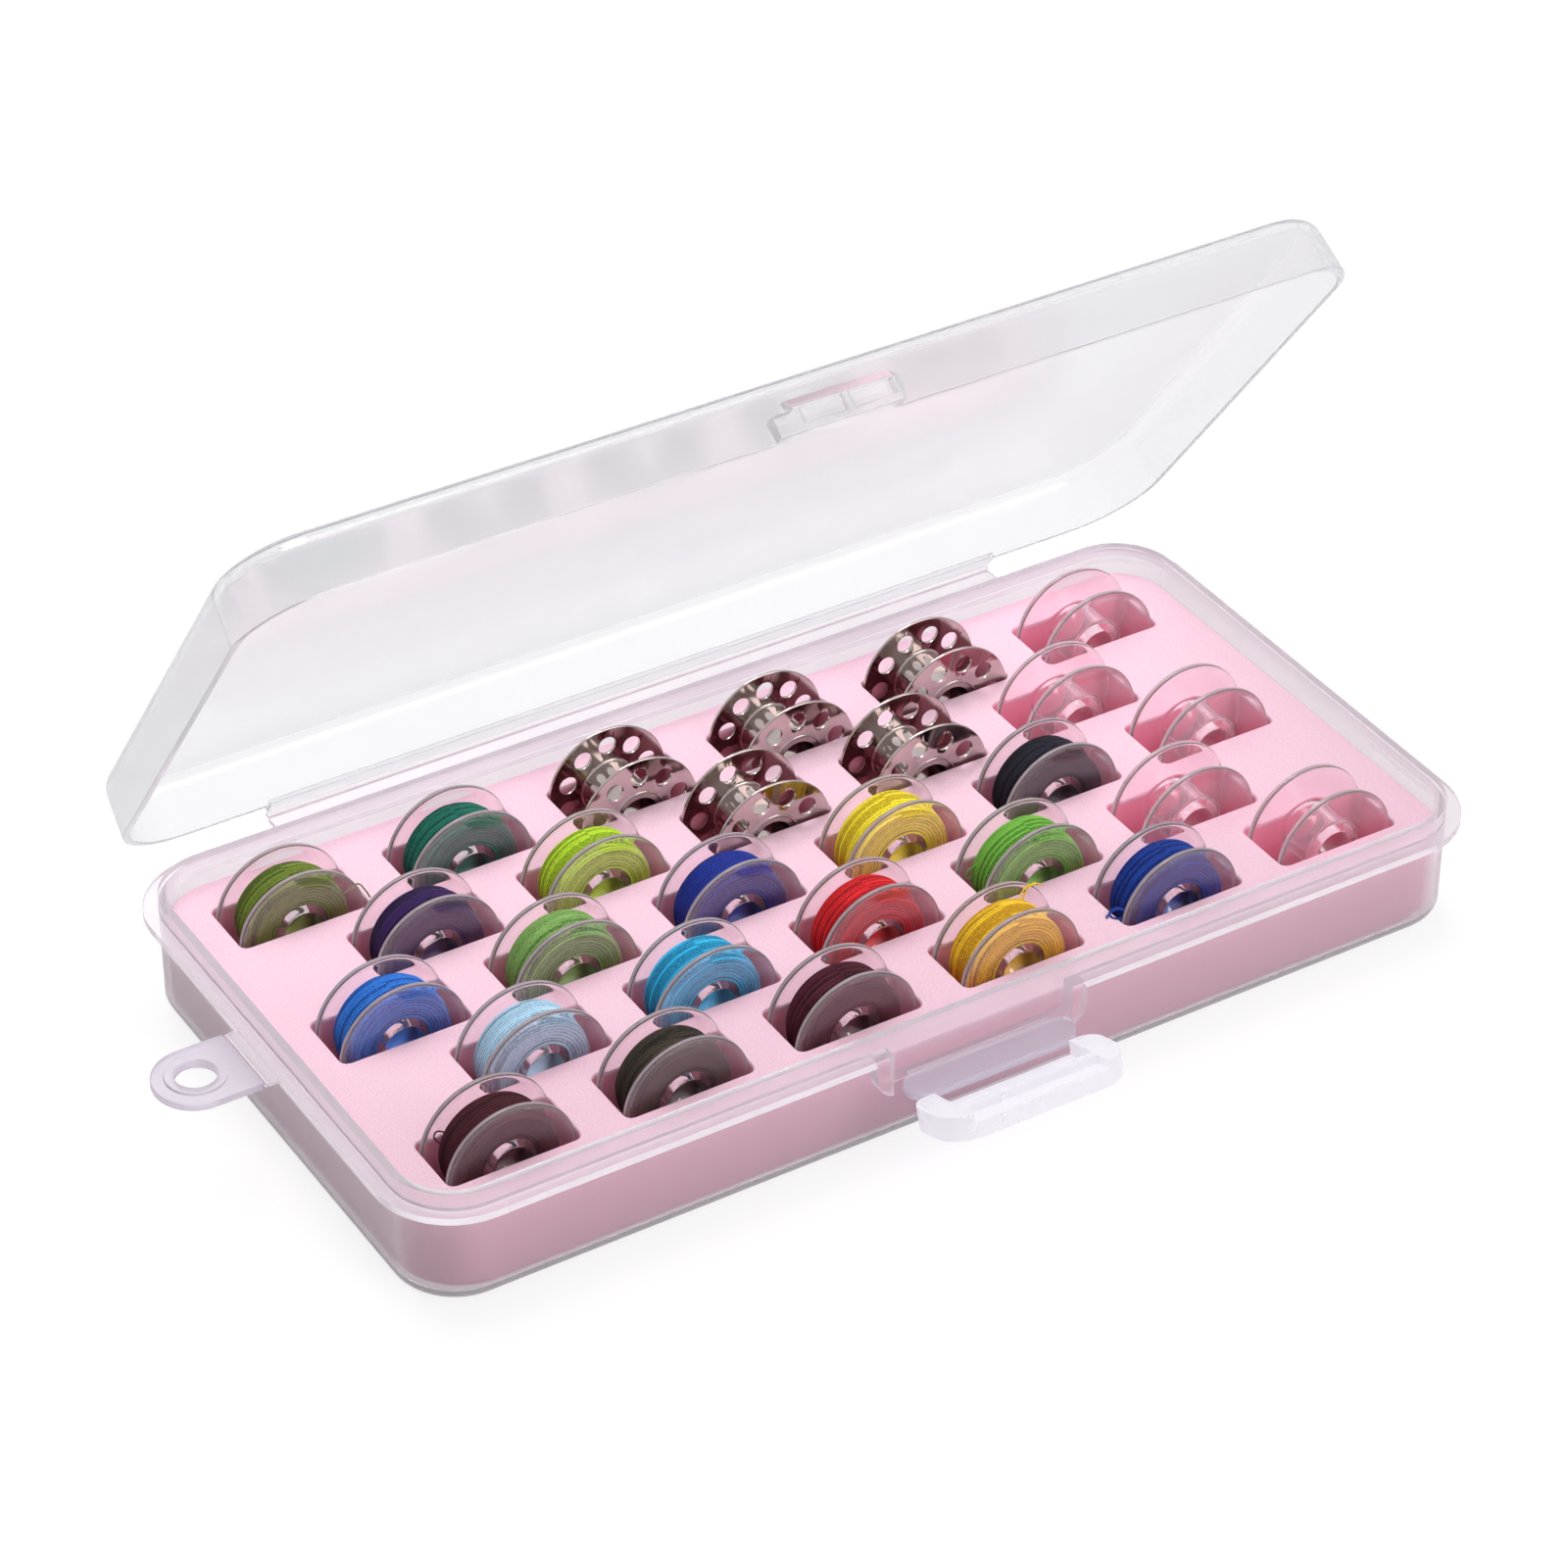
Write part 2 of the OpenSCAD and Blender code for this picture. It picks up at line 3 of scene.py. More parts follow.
import bmesh
import bpy
import numpy as np
from mathutils import Matrix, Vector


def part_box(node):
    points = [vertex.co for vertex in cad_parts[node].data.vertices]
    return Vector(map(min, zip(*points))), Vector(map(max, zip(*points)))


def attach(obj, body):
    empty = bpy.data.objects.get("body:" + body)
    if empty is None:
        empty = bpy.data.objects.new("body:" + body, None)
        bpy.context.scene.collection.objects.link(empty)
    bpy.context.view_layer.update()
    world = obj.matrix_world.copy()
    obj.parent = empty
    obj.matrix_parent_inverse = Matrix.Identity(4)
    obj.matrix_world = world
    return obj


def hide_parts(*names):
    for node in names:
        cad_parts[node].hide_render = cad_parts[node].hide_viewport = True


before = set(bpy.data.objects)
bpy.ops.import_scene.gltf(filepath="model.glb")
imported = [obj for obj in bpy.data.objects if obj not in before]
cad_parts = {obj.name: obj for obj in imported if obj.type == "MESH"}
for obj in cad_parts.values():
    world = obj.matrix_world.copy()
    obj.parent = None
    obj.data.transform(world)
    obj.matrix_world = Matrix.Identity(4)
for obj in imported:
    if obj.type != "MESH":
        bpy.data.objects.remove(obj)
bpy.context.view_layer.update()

MM = 0.001


# ---- Tray ------------------------------------------------------------------------------------
# One thin moulding of natural polypropylene: nearly clear, a little milky, with a satin surface
# left by the mould. The ledge, the pocket for the latch and the fold lines are part of it.
WELD = 0.002 * MM
NEAR = 0.02 * MM
FLAT = math.radians(0.5)
SHARP = math.radians(32)
EDGE_SEGMENTS = 2
MOULD_EDGE = 0.22 * MM
# half the length and width of the floor plate, its corner radius and a height just above it
FLOOR_X = 86.8 * MM
FLOOR_Y = 42.25 * MM
FLOOR_R = 7.9 * MM
FLOOR_TOP = 1.3 * MM
PLASTIC_IOR = 1.49
GRAIN_SHARE = 0.015
SATIN = 0.10
WAVE = 0.012 * MM


def welded(node):
    """Editable copy of a construction solid, its loose triangles welded into whole flat faces."""
    work = bmesh.new()
    work.from_mesh(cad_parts[node].data)
    bmesh.ops.remove_doubles(work, verts=work.verts, dist=WELD)
    bmesh.ops.dissolve_limit(work, angle_limit=FLAT, verts=work.verts, edges=work.edges)
    return work


def add_piece(name, mesh):
    """Object for a mesh, linked into the scene."""
    piece = bpy.data.objects.new(name, mesh)
    bpy.context.scene.collection.objects.link(piece)
    return piece


def moulded_piece(work, name, edge):
    """Piece made of an edited solid, its sharp edges rounded."""
    for face in work.faces:
        face.smooth = True
    mesh = bpy.data.meshes.new(name)
    work.to_mesh(mesh)
    work.free()
    piece = add_piece(name, mesh)
    soften(piece, edge)
    return piece


def soften(piece, edge):
    """Rounds every edge that turns by more than SHARP and keeps flat faces flat in the light."""
    bevel = piece.modifiers.new("round_edges", "BEVEL")
    bevel.width = edge
    bevel.segments = EDGE_SEGMENTS
    bevel.limit_method = "ANGLE"
    bevel.angle_limit = SHARP
    bevel.miter_outer = "MITER_ARC"
    normals = piece.modifiers.new("flat_faces", "WEIGHTED_NORMAL")
    normals.keep_sharp = False


def add_group(name, inputs, outputs):
    """Empty shader group with the sockets named; returns it with its input and output nodes."""
    group = bpy.data.node_groups.new(name, "ShaderNodeTree")
    for label, kind in inputs:
        group.interface.new_socket(label, in_out="INPUT", socket_type=kind)
    for label, kind in outputs:
        group.interface.new_socket(label, in_out="OUTPUT", socket_type=kind)
    return group, group.nodes.new("NodeGroupInput"), group.nodes.new("NodeGroupOutput")


def new_material(name):
    """Material with the default nodes; returns it with its nodes and its links."""
    material = bpy.data.materials.new(name)
    material.use_nodes = True
    return material, material.node_tree.nodes, material.node_tree.links


def feed(links, socket, value):
    """Feeds a socket with a plain number or from another socket."""
    if isinstance(value, (int, float)):
        socket.default_value = value
    else:
        links.new(value, socket)


def noise_node(nodes, links, vector, scale, detail):
    """Noise texture on the given coordinates, in features to the metre."""
    noise = nodes.new("ShaderNodeTexNoise")
    noise.inputs["Scale"].default_value = scale
    noise.inputs["Detail"].default_value = detail
    links.new(vector, noise.inputs["Vector"])
    return noise


def math_node(nodes, links, operation, a, b=None):
    """Result of a math node whose one or two inputs are sockets or plain numbers."""
    node = nodes.new("ShaderNodeMath")
    node.operation = operation
    feed(links, node.inputs[0], a)
    if b is not None:
        feed(links, node.inputs[1], b)
    return node.outputs[0]


def mix_shaders(nodes, links, share, first, second):
    """Mix of two shaders, in which the second has the given share, a socket or a plain number."""
    mix = nodes.new("ShaderNodeMixShader")
    feed(links, mix.inputs[0], share)
    links.new(first.outputs[0], mix.inputs[1])
    links.new(second.outputs[0], mix.inputs[2])
    return mix


def add_bump(nodes, links, body, height, strength, distance):
    """Bumps a surface by a height, of which 1 stands for the distance."""
    bump = nodes.new("ShaderNodeBump")
    bump.inputs["Strength"].default_value = strength
    bump.inputs["Distance"].default_value = distance
    links.new(height, bump.inputs["Height"])
    links.new(bump.outputs["Normal"], body.inputs["Normal"])


def put_out(nodes, links, shader):
    """Makes a shader the surface of its material."""
    surface = nodes.new("ShaderNodeOutputMaterial")
    links.new(shader.outputs[0], surface.inputs["Surface"])


def build_mould_skin():
    """Surface that a mould leaves: long shallow flow waves, a fine satin grain and patches of
    scuffing. Puts out a roughness and a height; Satin sets how far the scuffs lift the roughness."""
    group, given, result = add_group(
        "mould_skin",
        [("Satin", "NodeSocketFloat"), ("Rough", "NodeSocketFloat")],
        [("Roughness", "NodeSocketFloat"), ("Height", "NodeSocketFloat")],
    )
    nodes, links = group.nodes, group.links
    place = nodes.new("ShaderNodeTexCoord")
    flow = noise_node(nodes, links, place.outputs["Object"], scale=22, detail=1)
    grain = noise_node(nodes, links, place.outputs["Object"], scale=1500, detail=2)
    scuff = noise_node(nodes, links, place.outputs["Object"], scale=160, detail=4)
    spread = math_node(nodes, links, "MULTIPLY", scuff.outputs["Fac"], given.outputs["Satin"])
    rough = math_node(nodes, links, "ADD", spread, given.outputs["Rough"])
    links.new(rough, result.inputs["Roughness"])
    fine = math_node(nodes, links, "MULTIPLY", grain.outputs["Fac"], GRAIN_SHARE)
    height = math_node(nodes, links, "ADD", flow.outputs["Fac"], fine)
    links.new(height, result.inputs["Height"])
    return group


mould_skin = build_mould_skin()


def add_skin(nodes, links, body, rough, satin, strength, wave):
    """Gives a surface the roughness rough, which scuffs lift by up to satin, and flow waves of the
    height wave."""
    skin = nodes.new("ShaderNodeGroup")
    skin.node_tree = mould_skin
    skin.inputs["Satin"].default_value = satin
    skin.inputs["Rough"].default_value = rough
    links.new(skin.outputs["Roughness"], body.inputs["Roughness"])
    add_bump(nodes, links, body, skin.outputs["Height"], strength, wave)


def clear_plastic(name, tint, cloud, shadow, milk, edge_milk, rough, satin=SATIN, wave=WAVE, rim=0.0):
    """Clear moulded plastic with a mould's skin. Light goes through it with the colour tint; the
    share milk scatters with the colour cloud, rising to edge_milk where the wall is seen edge on and
    is thicker to look through, and by rim where the mesh's rim attribute is 1. A shadow ray passes
    with the colour shadow, so that what lies behind a thin wall stays lit."""
    material, nodes, links = new_material(name)
    nodes.clear()
    body = nodes.new("ShaderNodeBsdfPrincipled")
    body.inputs["Base Color"].default_value = (*tint, 1)
    body.inputs["IOR"].default_value = PLASTIC_IOR
    body.inputs["Transmission Weight"].default_value = 1.0
    add_skin(nodes, links, body, rough, satin, 1.0, wave)
    lit = nodes.new("ShaderNodeBsdfDiffuse")
    lit.inputs["Color"].default_value = (*cloud, 1)
    glowing = nodes.new("ShaderNodeBsdfTranslucent")
    glowing.inputs["Color"].default_value = (*cloud, 1)
    haze = mix_shaders(nodes, links, 0.5, lit, glowing)
    slant = nodes.new("ShaderNodeLayerWeight")
    slant.inputs["Blend"].default_value = 0.5
    steep = math_node(nodes, links, "POWER", slant.outputs["Facing"], 3)
    share = math_node(nodes, links, "MULTIPLY", steep, edge_milk - milk)
    share = math_node(nodes, links, "ADD", share, milk)
    if rim:
        band = nodes.new("ShaderNodeAttribute")
        band.attribute_name = "rim"
        extra = math_node(nodes, links, "MULTIPLY", band.outputs["Fac"], rim)
        share = math_node(nodes, links, "ADD", share, extra)
    cloudy = mix_shaders(nodes, links, share, body, haze)
    passing = nodes.new("ShaderNodeBsdfTransparent")
    passing.inputs["Color"].default_value = (*shadow, 1)
    path = nodes.new("ShaderNodeLightPath")
    put_out(nodes, links, mix_shaders(nodes, links, path.outputs["Is Shadow Ray"], cloudy, passing))
    return material


tray_plastic = clear_plastic(
    "tray_plastic", tint=(0.93, 0.89, 0.92), cloud=(0.88, 0.83, 0.88), shadow=(0.90, 0.85, 0.88),
    milk=0.20, edge_milk=0.85, rough=0.12, satin=0.06)


def close_floor(work):
    """Makes the ring of walls and its floor one body: takes away the ring's inner edge face, which
    lies on a rounded rectangle, and closes the two loops that are left with flat faces. A point is
    on that rectangle where its distance beyond the corners' centres equals the corner radius."""
    def on_edge(corner):
        beyond = np.abs([corner.x, corner.y]) - (np.array([FLOOR_X, FLOOR_Y]) - FLOOR_R)
        outside = np.hypot(*np.maximum(beyond, 0)) + min(beyond.max(), 0)
        return abs(outside - FLOOR_R) < NEAR and corner.z < FLOOR_TOP

    strip = [face for face in work.faces if all(on_edge(vert.co) for vert in face.verts)]
    bmesh.ops.delete(work, geom=strip, context="FACES_ONLY")
    bmesh.ops.holes_fill(work, edges=[edge for edge in work.edges if edge.is_boundary], sides=0)
    bmesh.ops.recalc_face_normals(work, faces=work.faces)


walls = welded("base")
close_floor(walls)
tray = moulded_piece(walls, "tray_moulding", MOULD_EDGE)
tray.data.materials.append(tray_plastic)
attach(tray, "tray")
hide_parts("base", "base_floor")


# ---- Foam insert -----------------------------------------------------------------------------
# A slab of soft pink foam, die-cut with a blind slot for each bobbin. Its face is a fine matte
# skin of small cells. The faces inside the slots are painted a deeper, darker pink as painted shade
# and painted bounced light, and the slab's sides are painted in part as painted shade.
FOAM_W = 174.6 * MM
FOAM_D = 85.5 * MM
FOAM_R = 8.4 * MM
FOAM_BOTTOM = 1.22 * MM
FOAM_TOP = 14.7 * MM
FOAM_EDGE = 0.3 * MM
FOAM_GRAIN = 0.06 * MM
SLAB_CORNER_STEPS = 8
SLOT_CORNER_STEPS = 3
UNDER_SHARE = 0.985
UNDER_LAP = 0.2 * MM
UNDER_EDGE = 0.1 * MM
SLOT_L = 21.0 * MM
SLOT_W = 11.0 * MM
SLOT_R = 1.2 * MM
SLOT_BOTTOM = 2.4 * MM
PITCH_X = 28.1 * MM
PITCH_Y = 15.55 * MM
ROWS = 5
MOST_IN_ROW = 6
# half the size of a block that holds all the slots and none of the slab's own edge
SLOTS_X = 84.0 * MM
SLOTS_Y = 40.5 * MM
# painted shade: the foam's faces more than this far below its top are painted the deeper, darker pink
# below, for shade and bounced light, fully in the slots and in part on the slab's sides
PAINTED_SHADE_DEPTH = 0.6 * MM
PAINTED_SHADE_EDGE_SHARE = 0.4
FOAM_DARK = (0.74, 0.48, 0.575)
FOAM_LIGHT = (0.86, 0.60, 0.70)
FOAM_PAINTED_SHADE = (0.84, 0.30, 0.42)


def finished_mesh(piece, name, rise=0.0):
    """The piece's mesh with its modifiers applied, moved up by rise; the piece itself is removed."""
    finished = piece.evaluated_get(bpy.context.evaluated_depsgraph_get())
    mesh = bpy.data.meshes.new_from_object(finished)
    mesh.name = name
    mesh.transform(Matrix.Translation((0, 0, rise)))
    bpy.data.objects.remove(piece)
    return mesh


def ramp_node(nodes, links, value, low, high):
    """Colour that changes from one to another as the value rises; low and high are each a value and
    the colour there."""
    ramp = nodes.new("ShaderNodeValToRGB")
    for index, (position, colour) in enumerate((low, high)):
        ramp.color_ramp.elements[index].position = position
        ramp.color_ramp.elements[index].color = (*colour, 1)
    links.new(value, ramp.inputs["Fac"])
    return ramp.outputs["Color"]


def foam_finish():
    """Matte foam: small cells in the bump, a faint mottle of the colour, and a deeper, darker pink
    painted as shade and bounced light on the faces more than the shade depth below the top, all of it
    in the block of slots and a part on the slab's edge."""
    material, nodes, links = new_material("pink_foam")
    body = nodes["Principled BSDF"]
    place = nodes.new("ShaderNodeTexCoord")
    mottle = noise_node(nodes, links, place.outputs["Object"], scale=3400, detail=5)
    colour = ramp_node(nodes, links, mottle.outputs["Fac"], (0.3, FOAM_DARK), (0.7, FOAM_LIGHT))
    spot = nodes.new("ShaderNodeSeparateXYZ")
    links.new(place.outputs["Object"], spot.inputs["Vector"])
    reach = [math_node(nodes, links, "ABSOLUTE", spot.outputs[axis]) for axis in ("X", "Y")]
    within_x = math_node(nodes, links, "LESS_THAN", reach[0], SLOTS_X)
    within_y = math_node(nodes, links, "LESS_THAN", reach[1], SLOTS_Y)
    inside = math_node(nodes, links, "MULTIPLY", within_x, within_y)
    depth = math_node(nodes, links, "MULTIPLY", inside, 1 - PAINTED_SHADE_EDGE_SHARE)
    depth = math_node(nodes, links, "ADD", depth, PAINTED_SHADE_EDGE_SHARE)
    # painted shade: the deeper, darker pink on the faces below the top, for the shade and bounced
    # light in the slots and on the slab's sides
    cut = math_node(nodes, links, "LESS_THAN", spot.outputs["Z"], FOAM_TOP - PAINTED_SHADE_DEPTH)
    cut = math_node(nodes, links, "MULTIPLY", cut, depth)
    painted_shade = nodes.new("ShaderNodeMix")
    painted_shade.data_type = "RGBA"
    links.new(cut, painted_shade.inputs["Factor"])
    links.new(colour, painted_shade.inputs["A"])
    painted_shade.inputs["B"].default_value = (*FOAM_PAINTED_SHADE, 1)
    links.new(painted_shade.outputs["Result"], body.inputs["Base Color"])
    body.inputs["Roughness"].default_value = 0.85
    body.inputs["Specular IOR Level"].default_value = 0.12
    body.inputs["Sheen Weight"].default_value = 0.10
    body.inputs["Sheen Roughness"].default_value = 0.6
    cells = nodes.new("ShaderNodeTexVoronoi")
    cells.inputs["Scale"].default_value = 2600
    links.new(place.outputs["Object"], cells.inputs["Vector"])
    lumps = noise_node(nodes, links, place.outputs["Object"], scale=1100, detail=3)
    height = math_node(nodes, links, "ADD", cells.outputs["Distance"], lumps.outputs["Fac"])
    add_bump(nodes, links, body, height, 0.4, FOAM_GRAIN)
    return material


def round_outline(centre, width, depth, radius, steps):
    """Points of a rectangle with round corners of so many steps each, anticlockwise."""
    turn = np.radians(np.linspace(0, 90, steps + 1))
    points = []
    for quarter, (sx, sy) in enumerate([(1, 1), (-1, 1), (-1, -1), (1, -1)]):
        middle = np.array(centre) + [sx * (width / 2 - radius), sy * (depth / 2 - radius)]
        angle = turn + quarter * math.pi / 2
        points.append(middle + radius * np.column_stack([np.cos(angle), np.sin(angle)]))
    return np.vstack(points)


def cut_sheet(name, outlines, low, high, edge):
    """Slab between two heights whose plan is the first outline with the others cut out of it, all
    its edges rolled to the radius edge."""
    curve = bpy.data.curves.new(name, "CURVE")
    curve.dimensions = "2D"
    curve.fill_mode = "BOTH"
    curve.extrude = (high - low) / 2 - edge
    curve.bevel_depth = edge
    curve.bevel_resolution = 2
    curve.offset = -edge
    for outline in outlines:
        spline = curve.splines.new("POLY")
        spline.points.add(len(outline) - 1)
        flat = np.column_stack([outline, np.zeros(len(outline)), np.ones(len(outline))])
        spline.points.foreach_set("co", flat.ravel())
        spline.use_cyclic_u = True
    return finished_mesh(add_piece(name, curve), name, (low + high) / 2)


def slots_in(row):
    """How many slots a row has: an even row has one less than an odd one and lies half a step over."""
    return MOST_IN_ROW if row % 2 else MOST_IN_ROW - 1


def slot_outline(row, column):
    """Outline of the slot that holds one bobbin; the rows and the places in a row are centred."""
    x = (column - (slots_in(row) + 1) / 2) * PITCH_X
    y = (row - (ROWS + 1) / 2) * PITCH_Y
    return round_outline((x, y), SLOT_L, SLOT_W, SLOT_R, SLOT_CORNER_STEPS)


slab = round_outline((0, 0), FOAM_W, FOAM_D, FOAM_R, SLAB_CORNER_STEPS)
slots = []
for row in range(1, ROWS + 1):
    slots += [slot_outline(row, column) for column in range(1, slots_in(row) + 1)]
cut_mesh = cut_sheet("foam_cut", [slab] + slots, SLOT_BOTTOM, FOAM_TOP, FOAM_EDGE)
# the uncut part below is a little smaller and reaches a little way up into the cut part
under = slab * UNDER_SHARE
floor_mesh = cut_sheet("foam_under", [under], FOAM_BOTTOM, SLOT_BOTTOM + UNDER_LAP, UNDER_EDGE)
whole = bmesh.new()
whole.from_mesh(cut_mesh)
whole.from_mesh(floor_mesh)
whole.to_mesh(cut_mesh)
whole.free()
foam = add_piece("foam_slab", cut_mesh)
foam.data.materials.clear()
foam.data.materials.append(foam_finish())
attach(foam, "tray")
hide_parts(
    "foam_floor", *[f"foam_rib_{n}" for n in range(1, 7)], *[f"foam_row_{n}" for n in range(1, 6)])


# ---- Plastic bobbins -------------------------------------------------------------------------
# Crystal-clear injection-moulded bobbins: two thin flanges with round rims on a hollow core, with
# a small thread hole in each flange. The core meets the flanges in a fillet.
BOBBIN_R = 10.2 * MM
BORE_R = 3.1 * MM
CORE_R = 4.3 * MM
PLASTIC_HALF = 4.25 * MM
PLASTIC_FLANGE = 1.0 * MM
CORE_FILLET = 1.0 * MM
RIM_ROUND = 0.3 * MM
RIM_BAND = 1.0 * MM
THREAD_HOLE_R = 0.75 * MM
THREAD_HOLE_AT = 6.2 * MM
THREAD_HOLE_ANGLE = 140
AROUND = 96
HOLE_SIDES = 28
BAND_SHARE = 0.3
MOST_PLASTIC_SPIN = 35
SPIN_SEED = 7


def arc(centre, radius, start, end, count):
    """Points on a circle, count of them, from one angle to another in degrees."""
    angle = np.radians(np.linspace(start, end, count))
    return np.column_stack([centre[0] + radius * np.cos(angle), centre[1] + radius * np.sin(angle)])


def closed_grid(around, count):
    """Faces of a grid of points that closes on itself both ways: around rings of count points."""
    ring, place = np.meshgrid(np.arange(around), np.arange(count), indexing="ij")
    after, beside = (ring + 1) % around, (place + 1) % count
    start, end = ring * count, after * count
    corners = [start + place, end + place, end + beside, start + beside]
    return np.stack(corners, axis=-1).reshape(-1, 4)


def lathe(profile, around):
    """Turns a closed profile of (radius, place along the axis) round the Y axis. Angle 0 is up."""
    turn = np.linspace(0, 2 * math.pi, around, endpoint=False)
    radius, along = profile[:, 0], profile[:, 1]
    x = np.outer(np.sin(turn), radius)
    z = np.outer(np.cos(turn), radius)
    y = np.broadcast_to(along, x.shape)
    points = np.stack([x, y, z], axis=-1).reshape(-1, 3)
    return points, closed_grid(around, len(profile))


def add_mesh(name, points, faces, outward=False):
    """Mesh from arrays of points and faces, shaded smooth; outward turns its faces the right way."""
    mesh = bpy.data.meshes.new(name)
    mesh.from_pydata(points.tolist(), [], faces.tolist())
    if outward:
        work = bmesh.new()
        work.from_mesh(mesh)
        bmesh.ops.remove_doubles(work, verts=work.verts, dist=WELD)
        bmesh.ops.recalc_face_normals(work, faces=work.faces)
        work.to_mesh(mesh)
        work.free()
    mesh.shade_smooth()
    return mesh


def drill(mesh, name, angles, at, radius, length):
    """Cuts round holes right through a bobbin along its axis, at the given angles in degrees and at
    the distance at from the axis. Each hole's cutter is a closed prism of HOLE_SIDES sides."""
    points, faces = [], []
    ring = np.linspace(0, 2 * math.pi, HOLE_SIDES, endpoint=False)
    circle = np.column_stack([radius * np.sin(ring), 0 * ring, radius * np.cos(ring)])
    for angle in np.radians(angles):
        middle = np.array([at * math.sin(angle), 0, at * math.cos(angle)])
        low = len(points) * HOLE_SIDES + np.arange(HOLE_SIDES)
        high = low + HOLE_SIDES
        for end in (-length, length):
            points.append(circle + middle + [0, end, 0])
        faces += [[a, b, c, d] for a, b, c, d in zip(low, np.roll(low, -1), np.roll(high, -1), high)]
        faces += [low[::-1].tolist(), high.tolist()]
    cutter_mesh = bpy.data.meshes.new(name + "_drill")
    cutter_mesh.from_pydata(np.vstack(points).tolist(), [], [list(map(int, face)) for face in faces])
    cutter = add_piece(name + "_drill", cutter_mesh)
    work = bmesh.new()
    work.from_mesh(cutter_mesh)
    bmesh.ops.recalc_face_normals(work, faces=work.faces)
    work.to_mesh(cutter_mesh)
    work.free()
    blank = add_piece(name + "_blank", mesh)
    cut = blank.modifiers.new("holes", "BOOLEAN")
    cut.object = cutter
    cut.operation = "DIFFERENCE"
    cut.solver = "EXACT"
    drilled = finished_mesh(blank, name)
    bpy.data.objects.remove(cutter)
    return drilled


def plastic_profile():
    """Section of the moulded bobbin, both flanges, with every outer corner rounded to RIM_ROUND."""
    inner = PLASTIC_HALF - PLASTIC_FLANGE
    fillet = (CORE_R + CORE_FILLET, inner - CORE_FILLET)
    rim_inner = (BOBBIN_R - RIM_ROUND, inner + RIM_ROUND)
    rim_outer = (BOBBIN_R - RIM_ROUND, PLASTIC_HALF - RIM_ROUND)
    mouth = (BORE_R + RIM_ROUND, PLASTIC_HALF - RIM_ROUND)
    half = np.vstack([
        arc(fillet, CORE_FILLET, 180, 90, 6),
        [[BOBBIN_R - RIM_BAND, inner]],
        arc(rim_inner, RIM_ROUND, -90, 0, 4),
        arc(rim_outer, RIM_ROUND, 0, 90, 4),
        [[BOBBIN_R - RIM_BAND, PLASTIC_HALF]],
        arc(mouth, RIM_ROUND, 90, 180, 4),
    ])
    return np.vstack([half, half[::-1] * [1, -1]])


def placed_copy(mesh, name, centre, spin):
    """Copy of a bobbin's mesh turned by spin degrees about its own axis and set at its centre."""
    copy = mesh.copy()
    copy.name = name
    points = np.empty(len(copy.vertices) * 3)
    copy.vertices.foreach_get("co", points)
    x, y, z = points.reshape(-1, 3).T
    angle = math.radians(spin)
    cosine, sine = math.cos(angle), math.sin(angle)
    turned = np.column_stack([x * cosine + z * sine, y, z * cosine - x * sine]) + centre
    copy.vertices.foreach_set("co", turned.ravel())
    copy.update()
    return copy


def node_centre(node):
    """Middle of a construction node."""
    low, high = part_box(node)
    return (np.array(low) + np.array(high)) / 2


def mark_rim(mesh):
    """Attribute rim: 1 on the outermost edge of the flanges, and on the band inside it a share that
    rises from 0 to BAND_SHARE in proportion to the radius."""
    corners = np.empty(len(mesh.vertices) * 3)
    mesh.vertices.foreach_get("co", corners)
    radii = np.hypot(corners[0::3], corners[2::3])
    share = BAND_SHARE * np.clip((radii - BOBBIN_R + RIM_BAND) / (RIM_BAND - RIM_ROUND), 0, 1)
    share[radii > BOBBIN_R - NEAR] = 1
    rim = mesh.attributes.new("rim", "FLOAT", "POINT")
    rim.data.foreach_set("value", share.astype(np.float32))


points, faces = lathe(plastic_profile(), AROUND)
plastic_mesh = drill(
    add_mesh("plastic_blank", points, faces, outward=True), "plastic_bobbin",
    (THREAD_HOLE_ANGLE,), THREAD_HOLE_AT, THREAD_HOLE_R, 2 * PLASTIC_HALF)
plastic_mesh.shade_smooth()
mark_rim(plastic_mesh)

# painted bounce light: the pink in these clear bobbins' tint, cloud and shadow colours stands for
# light bounced off the pink foam; the plastic itself is clear
wound_clear = clear_plastic(
    "wound_bobbin_clear", tint=(0.95, 0.88, 0.90), cloud=(0.88, 0.75, 0.79), shadow=(0.93, 0.88, 0.90),
    milk=0.02, edge_milk=0.20, rough=0.01, satin=0.03, wave=WAVE / 2, rim=0.42)
empty_clear = clear_plastic(
    "empty_bobbin_clear", tint=(0.99, 0.86, 0.90), cloud=(1.0, 0.86, 0.90), shadow=(0.98, 0.88, 0.92),
    milk=0.03, edge_milk=0.50, rough=0.01, satin=0.03, wave=WAVE / 2, rim=0.30)

# row and place of each bobbin in its row, from the front left
WOUND = [
    "1_1", "1_2", "1_3", "1_4", "1_5", "2_1", "2_2", "2_3", "2_4",
    "3_1", "3_2", "3_3", "3_4", "3_5", "4_1", "4_2", "5_1", "5_2",
]
EMPTY = ["1_6", "2_5", "3_6", "4_5", "5_6"]
spins = np.random.default_rng(SPIN_SEED)
for place in WOUND + EMPTY:
    wound = place in WOUND
    node = ("bobbin_" if wound else "clear_bobbin_") + place
    spin = spins.uniform(-MOST_PLASTIC_SPIN, MOST_PLASTIC_SPIN)
    mesh = placed_copy(plastic_mesh, "plastic_" + place, node_centre(node), spin)
    bobbin = add_piece("plastic_" + place, mesh)
    mesh.materials.clear()
    mesh.materials.append(wound_clear if wound else empty_clear)
    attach(bobbin, ("wound_" if wound else "empty_") + place)
    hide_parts(node)


